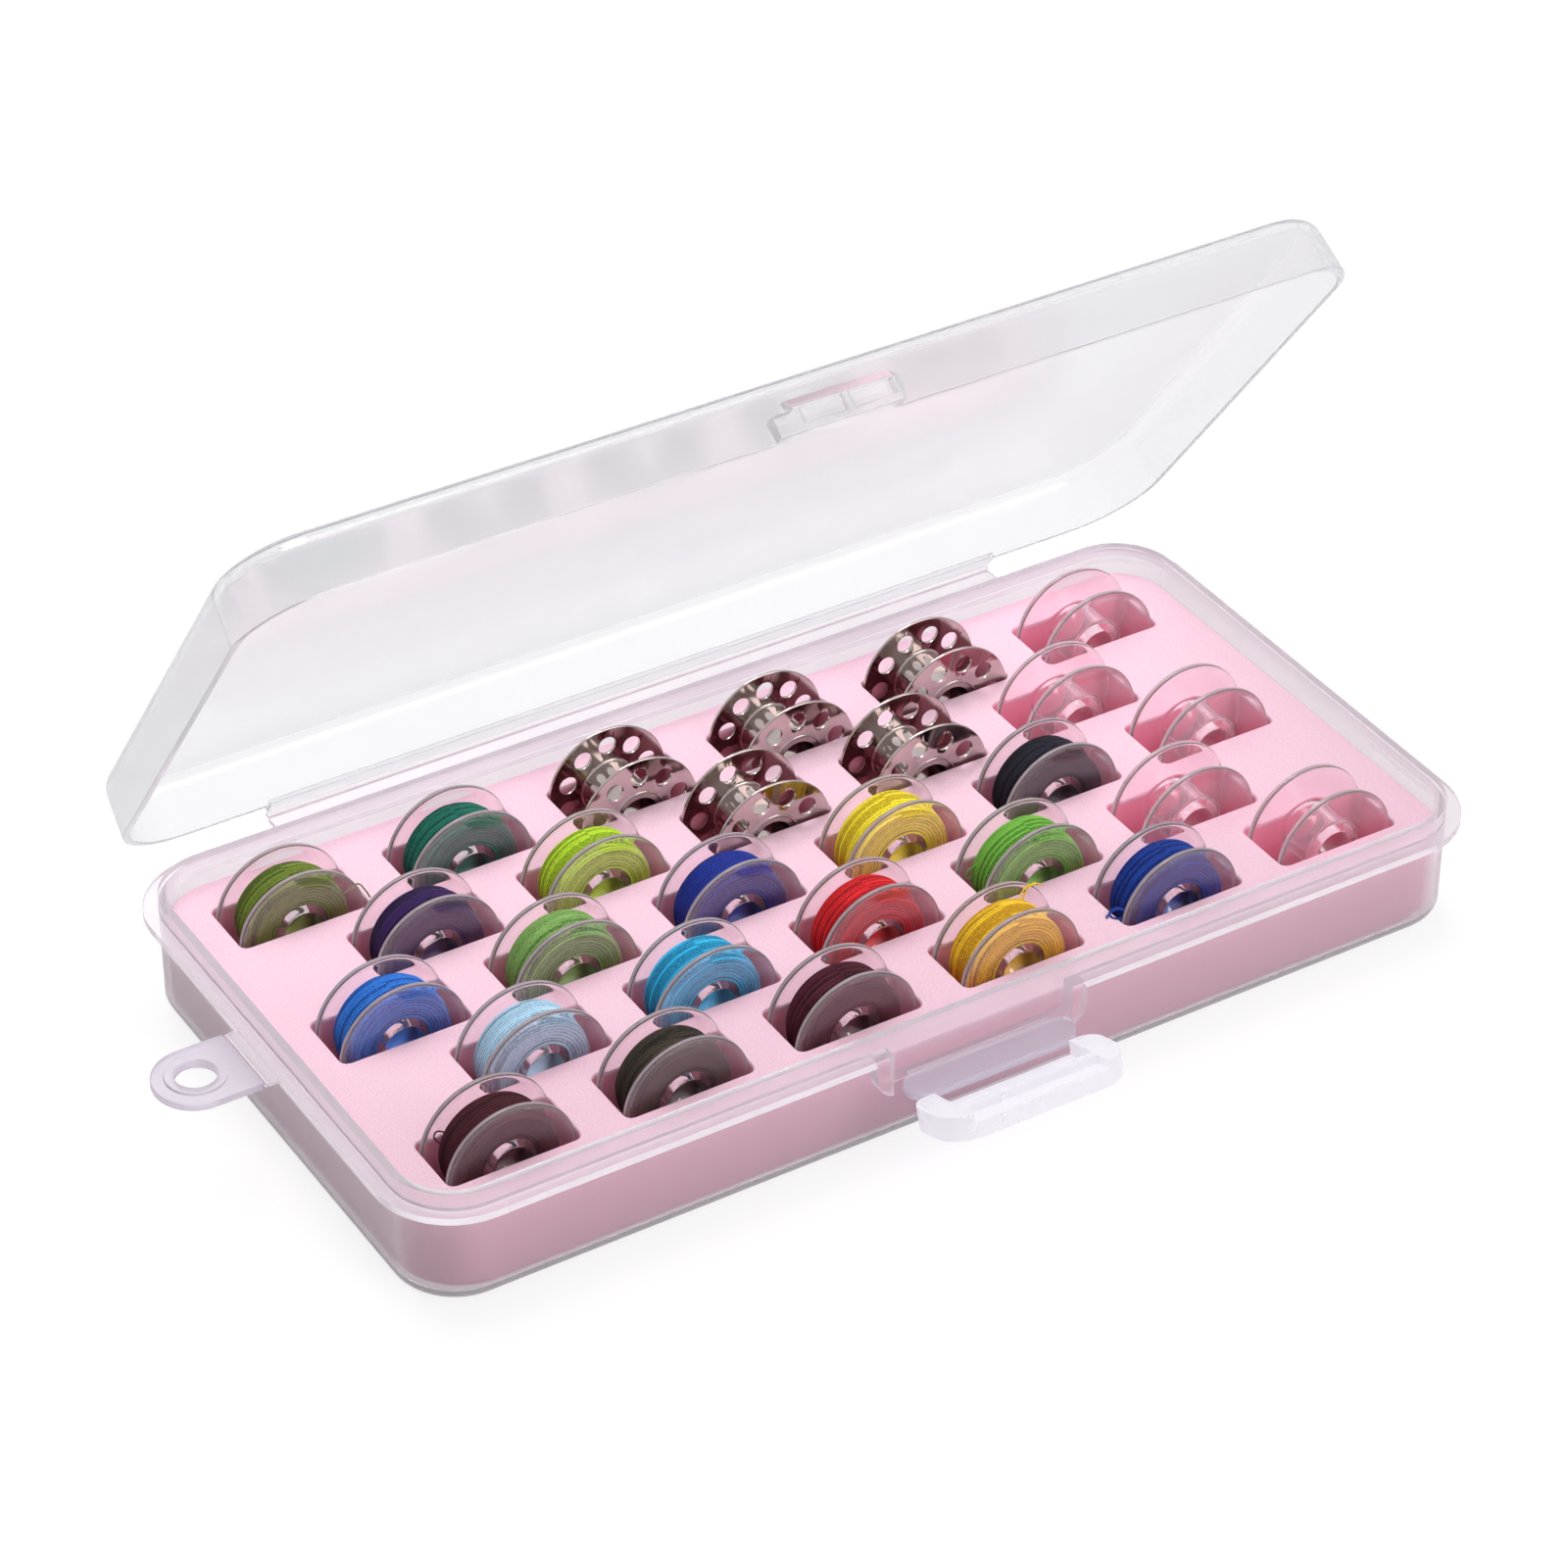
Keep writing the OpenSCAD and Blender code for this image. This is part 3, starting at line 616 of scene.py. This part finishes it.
# ---- Thread ----------------------------------------------------------------------------------
# Polyester thread wound by machine: close turns side by side in many layers, a little fuller in
# the middle, with a few turns of the last layer that cross the others.
TURN = 0.49 * MM
WIND_HALF = 3.2 * MM
WIND_INNER = 4.36 * MM
WIND_OUTER = 8.15 * MM
CROWN = 0.35 * MM
ROUNDING = 0.15 * MM
UNEVEN = 0.10 * MM
RIDGE = 0.22 * MM
RIDGE_POWER = 0.7
SIDE_RIDGE = 0.05 * MM
SIDE_DIP = 0.06 * MM
DRIFT = 0.12
SIDE_DRIFT = 0.25
WIND_AROUND = 120
STEPS_PER_TURN = 6
STEPS_PER_LAYER = 4
CROSSING_WIDTH = 1.15
CROSSING_SLOPE = 4
CROSSING_LEAST = 0.3
COVER_GAIN = 1.6
COVER_OFFSET = 0.55
LEVELS = 24
SUNK_SHARE = 0.35
SUNK_LEVEL = 0.4
LEAST_LEVEL = 0.7
TAIL_R = 0.13 * MM
TAIL_SIDES = 8
TAIL_STEPS = 6
# the loose ends stand high, so they take nearly the full painted light of the crests
TAIL_CREST = 0.9
# a direction that no loose end heads in
ASIDE = (0.3, 0.2, 1.0)
# rings and places of the grid to one unit of the fibres' coordinates
TWIST_RINGS = 8.0
TWIST_PLACES = 6.0
FIRST_SEED = 100
THREAD_SHEEN = 0.06
THREAD_GRAIN = 0.03 * MM
# how the tone of the colour follows the ridges, as painted shade between the turns and painted light
# on them, and the fibres
CREST_SHADE_TONE = 0.8
FIBRE_TONE = 0.9
TONE_OFFSET = 0.3


def ridge(phase, levels):
    """Row of round threads: over each whole step of the phase a parabola, made rounder by a power
    and multiplied by that step's own level, so that some turns are sunk between the others."""
    across = 2 * (phase - np.floor(phase)) - 1
    own = levels[np.mod(np.floor(phase).astype(int), len(levels))]
    return np.clip(1 - across ** 2, 0, 1) ** RIDGE_POWER * own


def slow_waves(turn, across, draw, count=5):
    """Smooth unevenness round the winding, about 1 high at most: half the sum of count sine waves,
    of which wave n has n cycles to the turn, 1/n of the height, a drawn shift and a drawn tilt."""
    total = 0
    for step in range(1, count + 1):
        shift, tilt = draw.uniform(0, 2 * math.pi), draw.uniform(-1.5, 1.5)
        total = total + np.sin(step * turn + tilt * across + shift) / step
    return total / 2


def strand(path):
    """Loose thread along a path of points in millimetres: a smooth curve through the points
    (Catmull-Rom), then a ring of points at each step, square to the curve. Gives points and faces."""
    knots = np.array([path[0], *path, path[-1]], float) * MM
    share = np.linspace(0, 1, TAIL_STEPS, endpoint=False)[:, None]
    line = []
    for before, here, there, after in zip(knots, knots[1:], knots[2:], knots[3:]):
        bend = 2 * before - 5 * here + 4 * there - after
        twist = 3 * here - 3 * there + after - before
        line.append(here + 0.5 * ((there - before) * share + bend * share ** 2 + twist * share ** 3))
    line = np.vstack(line + [knots[-1:]])
    heading = np.gradient(line, axis=0)
    side = np.cross(heading, ASIDE)
    side /= np.linalg.norm(side, axis=1)[:, None]
    over = np.cross(heading, side)
    over /= np.linalg.norm(over, axis=1)[:, None]
    turn = np.linspace(0, 2 * math.pi, TAIL_SIDES, endpoint=False)[None, :, None]
    points = line[:, None] + TAIL_R * (side[:, None] * np.cos(turn) + over[:, None] * np.sin(turn))
    ring, place = np.meshgrid(np.arange(len(line) - 1), np.arange(TAIL_SIDES), indexing="ij")
    beside = (place + 1) % TAIL_SIDES
    start, end = ring * TAIL_SIDES, (ring + 1) * TAIL_SIDES
    corners = [start + place, start + beside, end + beside, end + place]
    return points.reshape(-1, 3), np.stack(corners, axis=-1).reshape(-1, 4)


def turn_levels(draw):
    """How high each turn stands: a drawn share at SUNK_LEVEL, the others between LEAST_LEVEL and 1."""
    sunk = draw.uniform(0, 1, LEVELS) < SUNK_SHARE
    return np.where(sunk, SUNK_LEVEL, draw.uniform(LEAST_LEVEL, 1.0, LEVELS))


def winding_face(turn, outer_r, draw):
    """Outer face of a winding, on a grid of turn angle by place across the width. Its radius is the
    wound one less a crown that grows with the 4th power of the place and a rounding that grows with
    its square, plus slow waves and the ridges. The ridges are a helix of one step to the turn and,
    where drawn patches cover it, steeper turns that cross it. Gives the radius, the place, the
    ridges' height and the level of each turn."""
    steps = int(2 * WIND_HALF / TURN * STEPS_PER_TURN)
    across = np.linspace(-WIND_HALF, WIND_HALF, steps)[None, :]
    share = across / WIND_HALF
    drift = DRIFT * slow_waves(turn, 2 * share, draw)
    wave = UNEVEN * slow_waves(turn, 2 * share, draw)
    levels = turn_levels(draw)
    first = ridge(across / TURN + turn / (2 * math.pi) + drift, levels)
    slope = CROSSING_SLOPE * turn / (2 * math.pi)
    crossing = ridge(across / (CROSSING_WIDTH * TURN) - slope + drift, levels[::-1])
    cover = np.clip(COVER_GAIN * slow_waves(turn, 4 * share, draw, 4) - COVER_OFFSET, 0, 1)
    lift = np.maximum(first, crossing * (CROSSING_LEAST + cover) * (cover > 0))
    shape = wave - CROWN * share ** 4 - ROUNDING * share ** 2
    radius = outer_r - ROUNDING + shape + RIDGE * lift
    return radius, np.broadcast_to(across, radius.shape), lift, levels


def winding_side(turn, edge_r, side, layers, levels, draw):
    """Side of a winding at one flange, on a grid of turn angle by depth from the outer face to the
    core. The ridges are a flat spiral of one step to the turn; between them and in slow waves the
    side lies a little further in. Gives the radius, the place and the ridges' height."""
    layer = np.linspace(0, 1, layers)[None, :]
    radius = edge_r + (WIND_INNER - edge_r) * layer
    drift = SIDE_DRIFT * slow_waves(turn, 3 * layer, draw)
    lift = ridge(radius / TURN - side * turn / (2 * math.pi) + drift, 0.5 + 0.5 * levels)
    dip = SIDE_DIP * (1 + slow_waves(turn, 5 * layer, draw)) / 2
    place = side * (WIND_HALF - SIDE_RIDGE * (1 - lift) - dip)
    return radius[:, 1:], place[:, 1:], lift[:, 1:]


def winding_mesh(name, centre, seed, fullness, tails):
    """The winding as one closed surface: a side, the outer face, the other side and the wall on the
    core between them. Ridges stand for the turns, and the attribute crest holds their height. The
    loose ends in tails, paths from the bobbin's centre in millimetres, are added as strands."""
    draw = np.random.default_rng(seed)
    turn = np.linspace(0, 2 * math.pi, WIND_AROUND, endpoint=False)[:, None]
    outer_r = WIND_OUTER * fullness
    layers = int((outer_r - WIND_INNER) / TURN * STEPS_PER_LAYER)
    *face, levels = winding_face(turn, outer_r, draw)
    near = winding_side(turn, face[0][:, -1:], 1, layers, levels, draw)
    far = winding_side(turn, face[0][:, :1], -1, layers, levels, draw)
    strips = zip(far, face, near)
    radius, along, crest = (np.hstack([low[:, ::-1], middle, high]) for low, middle, high in strips)
    count = radius.shape[1]
    points = np.stack([radius * np.sin(turn), along, radius * np.cos(turn)], axis=-1) + centre
    points = points.reshape(-1, 3)
    faces = closed_grid(WIND_AROUND, count)
    crest = crest.ravel()
    for path in tails:
        loose, loose_faces = strand(path)
        faces = np.vstack([faces, loose_faces + len(points)])
        points = np.vstack([points, loose + centre])
        crest = np.append(crest, np.full(len(loose), TAIL_CREST))
    mesh = add_mesh(name, points, faces)
    # crest: the ridges' height, which the thread's finish turns into painted shade between the turns
    # and painted light on them
    mesh.attributes.new("crest", "FLOAT", "POINT").data.foreach_set("value", crest.astype(np.float32))
    # coordinates for the fibres: the grid's ring and place, which the loose ends count on from
    loops = np.empty(len(mesh.loops), dtype=np.int32)
    mesh.loops.foreach_get("vertex_index", loops)
    twist = np.column_stack([loops // count / TWIST_RINGS, loops % count / TWIST_PLACES])
    mesh.uv_layers.new(name="twist").data.foreach_set("uv", twist.ravel())
    return mesh


def thread_finish(name, colour):
    """Spun thread with painted shade and light: deeper and darker between the turns than on them, with
    fine twisted fibres and a soft sheen. The painted shade is 0.4 of the colour's 1.5th power, the
    painted light on the crests 1.2 of the colour."""
    material, nodes, links = new_material(name)
    body = nodes["Principled BSDF"]
    crest = nodes.new("ShaderNodeAttribute")
    crest.attribute_name = "crest"
    place = nodes.new("ShaderNodeTexCoord")
    fibres = noise_node(nodes, links, place.outputs["Object"], scale=3600, detail=4)
    spun = math_node(nodes, links, "MULTIPLY", fibres.outputs["Fac"], FIBRE_TONE)
    # painted shade and light: the ridges' height makes the colour darker between the turns and lighter
    # on them
    crest_shade = math_node(nodes, links, "MULTIPLY", crest.outputs["Fac"], CREST_SHADE_TONE)
    tone = math_node(nodes, links, "ADD", crest_shade, spun)
    tone = math_node(nodes, links, "SUBTRACT", tone, TONE_OFFSET)
    groove_shade = tuple(0.4 * value ** 1.5 for value in colour)
    light = tuple(min(1.0, 1.2 * value + 0.01) for value in colour)
    links.new(ramp_node(nodes, links, tone, (0.25, groove_shade), (0.8, light)), body.inputs["Base Color"])
    body.inputs["Roughness"].default_value = 0.75
    body.inputs["Specular IOR Level"].default_value = 0.15
    body.inputs["Sheen Weight"].default_value = THREAD_SHEEN
    body.inputs["Sheen Roughness"].default_value = 0.4
    twist = nodes.new("ShaderNodeTexWave")
    twist.bands_direction = "DIAGONAL"
    twist.inputs["Scale"].default_value = 2.2
    twist.inputs["Distortion"].default_value = 1.5
    links.new(place.outputs["UV"], twist.inputs["Vector"])
    height = math_node(nodes, links, "ADD", twist.outputs["Fac"], fibres.outputs["Fac"])
    add_bump(nodes, links, body, height, 0.6, THREAD_GRAIN)
    return material


# name and colour of each winding, then how full the bobbin is wound
WINDINGS = {
    "1_1": ("maroon", (0.060, 0.004, 0.012), 1.00),
    "1_2": ("dark_brown", (0.045, 0.034, 0.022), 0.99),
    "1_3": ("wine", (0.085, 0.004, 0.020), 1.00),
    "1_4": ("golden_yellow", (0.98, 0.54, 0.020), 1.02),
    "1_5": ("royal_blue", (0.004, 0.045, 0.32), 1.00),
    "2_1": ("pale_blue", (0.41, 0.62, 0.77), 0.99),
    "2_2": ("cyan", (0.030, 0.44, 0.72), 1.00),
    "2_3": ("red", (0.62, 0.008, 0.014), 1.00),
    "2_4": ("grass_green", (0.17, 0.46, 0.055), 1.00),
    "3_1": ("mid_blue", (0.022, 0.17, 0.60), 1.00),
    "3_2": ("leaf_green", (0.19, 0.36, 0.090), 1.01),
    "3_3": ("deep_blue", (0.007, 0.026, 0.27), 1.00),
    "3_4": ("lemon_yellow", (0.98, 0.71, 0.030), 1.02),
    "3_5": ("black_navy", (0.009, 0.007, 0.020), 1.00),
    "4_1": ("dark_purple", (0.030, 0.006, 0.085), 1.00),
    "4_2": ("lime", (0.46, 0.68, 0.028), 1.00),
    "5_1": ("olive", (0.145, 0.21, 0.020), 1.00),
    "5_2": ("teal", (0.004, 0.145, 0.10), 1.01),
}
# paths of the loose ends, in millimetres from the centre of the bobbin
TAILS = {
    "1_1": [[(-7.4, 1.8, 2.6), (-8.6, 2.3, 4.2), (-8.2, 2.2, 5.3), (-7.0, 1.6, 5.0)]],
    "1_4": [
        [(3.6, 1.8, 6.8), (5.4, 3.0, 8.0), (7.3, 3.9, 7.6), (8.6, 4.8, 6.6), (9.9, 5.3, 5.6)],
        [(3.2, 2.2, 7.2), (5.0, 3.0, 8.4), (7.0, 3.9, 7.8), (8.0, 4.7, 7.1)],
    ],
    "1_5": [
        [
            (-7.6, -1.2, 0.8), (-9.6, -1.2, 2.2), (-11.2, -1.7, 2.1), (-11.1, -2.8, 1.95),
            (-10.1, -3.7, 1.95),
        ],
        [(-7.6, -1.5, 0.9), (-9.8, -1.6, 2.2), (-11.6, -1.9, 2.0), (-12.0, -2.3, 1.95)],
    ],
    "2_4": [[(-7.4, 2.0, 2.8), (-8.5, 2.8, 1.6), (-8.9, 2.9, 0.4), (-8.2, 2.4, 0.2)]],
    "5_1": [[(7.3, -2.6, 3.4), (9.5, -3.2, 4.4), (10.2, -4.3, 3.6), (10.7, -4.7, 2.4)]],
}
for order, place in enumerate(WOUND):
    colour_name, colour, fullness = WINDINGS[place]
    centre = node_centre("thread_" + place)
    mesh = winding_mesh("winding_" + place, centre, FIRST_SEED + order, fullness, TAILS.get(place, []))
    mesh.materials.append(thread_finish("thread_" + colour_name, colour))
    winding = add_piece("winding_" + place, mesh)
    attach(winding, "wound_" + place)
    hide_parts("thread_" + place)


# ---- Steel bobbins ---------------------------------------------------------------------------
# Pressed steel, nickel plated: two thin flanges with ten round holes, staked on a tube whose ends
# are rolled over into a ring. Every edge is tumbled smooth.
STEEL_HALF = 5.05 * MM
STEEL_FLANGE = 0.5 * MM
STEEL_FILLET = 0.5 * MM
STEEL_ROUND = 0.2 * MM
STEEL_EDGE = 0.12 * MM
ROLL = 0.22 * MM
# where the rolled ring meets the flange, out from the tube and out from the bore
ROLL_FOOT = 0.45 * MM
ROLL_INNER = 0.35 * MM
MOST_STEEL_SPIN = 18
STEEL_WAVE = 0.002 * MM
NICKEL_DARK = (0.44, 0.37, 0.35)
NICKEL_LIGHT = (0.60, 0.53, 0.51)
STEEL_HOLES = 10
STEEL_HOLE_R = 1.5 * MM
STEEL_HOLE_AT = 7.2 * MM


def steel_profile():
    """Section of the steel bobbin, both flanges: tube, fillet, flat flange with a round rim, and the
    rolled ring at the tube's end."""
    inner = STEEL_HALF - STEEL_FLANGE
    fillet = (CORE_R + STEEL_FILLET, inner - STEEL_FILLET)
    rim_inner = (BOBBIN_R - STEEL_ROUND, inner + STEEL_ROUND)
    rim_outer = (BOBBIN_R - STEEL_ROUND, STEEL_HALF - STEEL_ROUND)
    mouth = (BORE_R + STEEL_ROUND, STEEL_HALF - STEEL_ROUND)
    half = np.vstack([
        arc(fillet, STEEL_FILLET, 180, 90, 5),
        arc(rim_inner, STEEL_ROUND, -90, 0, 4),
        arc(rim_outer, STEEL_ROUND, 0, 90, 4),
        [[CORE_R + ROLL_FOOT, STEEL_HALF]],
        arc((CORE_R, STEEL_HALF), ROLL, 0, 180, 7),
        [[BORE_R + ROLL_INNER, STEEL_HALF]],
        arc(mouth, STEEL_ROUND, 90, 180, 4),
    ])
    return np.vstack([half, half[::-1] * [1, -1]])


def steel_finish():
    """Nickel plate over pressed steel: polished warm grey, faintly stained and scuffed."""
    material, nodes, links = new_material("nickel_plate")
    body = nodes["Principled BSDF"]
    body.inputs["Metallic"].default_value = 1.0
    place = nodes.new("ShaderNodeTexCoord")
    stain = noise_node(nodes, links, place.outputs["Object"], scale=330, detail=4)
    colour = ramp_node(nodes, links, stain.outputs["Fac"], (0.0, NICKEL_DARK), (1.0, NICKEL_LIGHT))
    links.new(colour, body.inputs["Base Color"])
    add_skin(nodes, links, body, 0.04, SATIN, 0.5, STEEL_WAVE)
    return material


points, faces = lathe(steel_profile(), AROUND)
hole_angles = [360 / STEEL_HOLES * number for number in range(STEEL_HOLES)]
steel_mesh = drill(
    add_mesh("steel_blank", points, faces, outward=True), "steel_bobbin",
    hole_angles, STEEL_HOLE_AT, STEEL_HOLE_R, 2 * STEEL_HALF)
steel_mesh.shade_smooth()
nickel = steel_finish()
STEEL = ["4_3", "4_4", "5_3", "5_4", "5_5"]
for place in STEEL:
    node = "steel_bobbin_" + place
    spin = spins.uniform(-MOST_STEEL_SPIN, MOST_STEEL_SPIN)
    mesh = placed_copy(steel_mesh, "pressed_" + place, node_centre(node), spin)
    mesh.materials.clear()
    mesh.materials.append(nickel)
    bobbin = add_piece("pressed_" + place, mesh)
    soften(bobbin, STEEL_EDGE)
    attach(bobbin, "steel_" + place)
    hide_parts(node)


# ---- Lid and its hinge -----------------------------------------------------------------------
# The lid is the clearest part of the moulding, with a polished top plate and a catch on its front
# wall. A thin flexible web joins its leaf to the tray's leaf along the back.
lid_plastic = clear_plastic(
    "lid_plastic", tint=(0.965, 0.965, 0.975), cloud=(0.84, 0.85, 0.88), shadow=(0.95, 0.95, 0.96),
    milk=0.09, edge_milk=0.80, rough=0.05, satin=0.08)
lid = moulded_piece(welded("lid"), "lid_moulding", MOULD_EDGE)
lid.data.materials.append(lid_plastic)
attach(lid, "lid")
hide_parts("lid")
# the web's own solid is kept, in the tray's plastic
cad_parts["hinge_web"].data.materials.clear()
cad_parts["hinge_web"].data.materials.append(tray_plastic)


# ---- Latch and hang tab ----------------------------------------------------------------------
# Thicker pads of the same plastic, so they look whiter than the walls: the link and the tab of
# the snap latch, and the tab with the hanging hole.
PAD_EDGE = 0.12 * MM

pad_plastic = clear_plastic(
    "pad_plastic", tint=(0.92, 0.91, 0.94), cloud=(0.95, 0.94, 0.97), shadow=(0.80, 0.80, 0.83),
    milk=0.78, edge_milk=0.90, rough=0.22)
link_plastic = clear_plastic(
    "link_plastic", tint=(0.84, 0.80, 0.86), cloud=(0.72, 0.67, 0.74), shadow=(0.80, 0.76, 0.80),
    milk=0.38, edge_milk=0.75, rough=0.20)
finishes = {"latch_link": link_plastic, "latch_tab": pad_plastic, "hang_tab": link_plastic}
for node, finish in finishes.items():
    pad = moulded_piece(welded(node), node + "_moulding", PAD_EDGE)
    pad.data.materials.append(finish)
    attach(pad, node)
    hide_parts(node)


# ---- Table, lights and camera ----------------------------------------------------------------
# A matte, nearly white table under two large soft lights, one high behind the object and one to
# its front right. A long lens looks down on it from the front left.
TABLE_HALF = 3.0
TABLE_TONE = 0.88
TABLE_GLOW = 1.1
GLOW_SHARE = 0.7
SKY = 0.55
CAMERA_AZIMUTH = -31.89
CAMERA_ELEVATION = 35.86
CAMERA_ROLL = 0.33
CAMERA_LENS = 118.71
CAMERA_SENSOR = 36
CAMERA_DISTANCE = 789.8 * MM
AIM = np.array([11.0, 25.23, 10.0]) * MM


def seen_directly(nodes, links):
    """1 for what the camera sees by itself or through clear plastic; 0 for what is mirrored and for
    the light that a matte surface gathers."""
    path = nodes.new("ShaderNodeLightPath")
    seen = math_node(
        nodes, links, "MAXIMUM", path.outputs["Is Camera Ray"], path.outputs["Is Transmission Ray"])
    before_matte = math_node(nodes, links, "LESS_THAN", path.outputs["Diffuse Depth"], 0.5)
    return math_node(nodes, links, "MULTIPLY", seen, before_matte)


def pale_table():
    """Nearly white table that keeps the object's shadow; where it is seen directly it fades towards
    the backdrop's white."""
    material, nodes, links = new_material("pale_table")
    nodes.clear()
    matte = nodes.new("ShaderNodeBsdfDiffuse")
    matte.inputs["Color"].default_value = (TABLE_TONE, TABLE_TONE, TABLE_TONE, 1)
    glow = nodes.new("ShaderNodeEmission")
    glow.inputs["Color"].default_value = (1, 1, 1, 1)
    glow.inputs["Strength"].default_value = TABLE_GLOW
    fade = math_node(nodes, links, "MULTIPLY", seen_directly(nodes, links), GLOW_SHARE)
    put_out(nodes, links, mix_shaders(nodes, links, fade, matte, glow))
    return material


floor_corners = TABLE_HALF * np.array([[-1, -1, 0], [1, -1, 0], [1, 1, 0], [-1, 1, 0]])
floor = add_piece("table", add_mesh("table", floor_corners, np.array([[0, 1, 2, 3]])))
floor.data.materials.append(pale_table())

# the sky lights the object at the level SKY, and is white where it is seen directly
world = bpy.data.worlds.new("studio")
bpy.context.scene.world = world
world.use_nodes = True
nodes, links = world.node_tree.nodes, world.node_tree.links
backdrop = nodes["Background"]
backdrop.inputs["Color"].default_value = (1, 1, 1, 1)
extra = math_node(nodes, links, "MULTIPLY", seen_directly(nodes, links), 1 - SKY)
links.new(math_node(nodes, links, "ADD", extra, SKY), backdrop.inputs["Strength"])


def aim(thing, azimuth, elevation, distance):
    """Sets a light or camera at a compass angle round the object and an angle above the table, and
    turns it to face the point AIM."""
    a, e = math.radians(azimuth), math.radians(elevation)
    away = np.array([math.sin(a) * math.cos(e), -math.cos(a) * math.cos(e), math.sin(e)])
    thing.location = AIM + distance * away
    thing.rotation_euler = (math.pi / 2 - e, 0, a)
    bpy.context.scene.collection.objects.link(thing)


def softbox(name, azimuth, elevation, distance, size, power):
    """Square area light that faces the object."""
    light = bpy.data.lights.new(name, "AREA")
    light.size = size
    light.energy = power
    aim(bpy.data.objects.new(name, light), azimuth, elevation, distance)


softbox("key_light", azimuth=172, elevation=62, distance=1.2, size=0.45, power=5.6)
softbox("fill_light", azimuth=32, elevation=32, distance=1.4, size=0.8, power=5.2)

view = bpy.data.cameras.new("view")
view.lens = CAMERA_LENS
view.sensor_width = CAMERA_SENSOR
camera = bpy.data.objects.new("view", view)
aim(camera, CAMERA_AZIMUTH, CAMERA_ELEVATION, CAMERA_DISTANCE)
camera.rotation_euler.rotate_axis("Z", math.radians(CAMERA_ROLL))
bpy.context.scene.camera = camera
bpy.context.scene.view_settings.view_transform = "Standard"
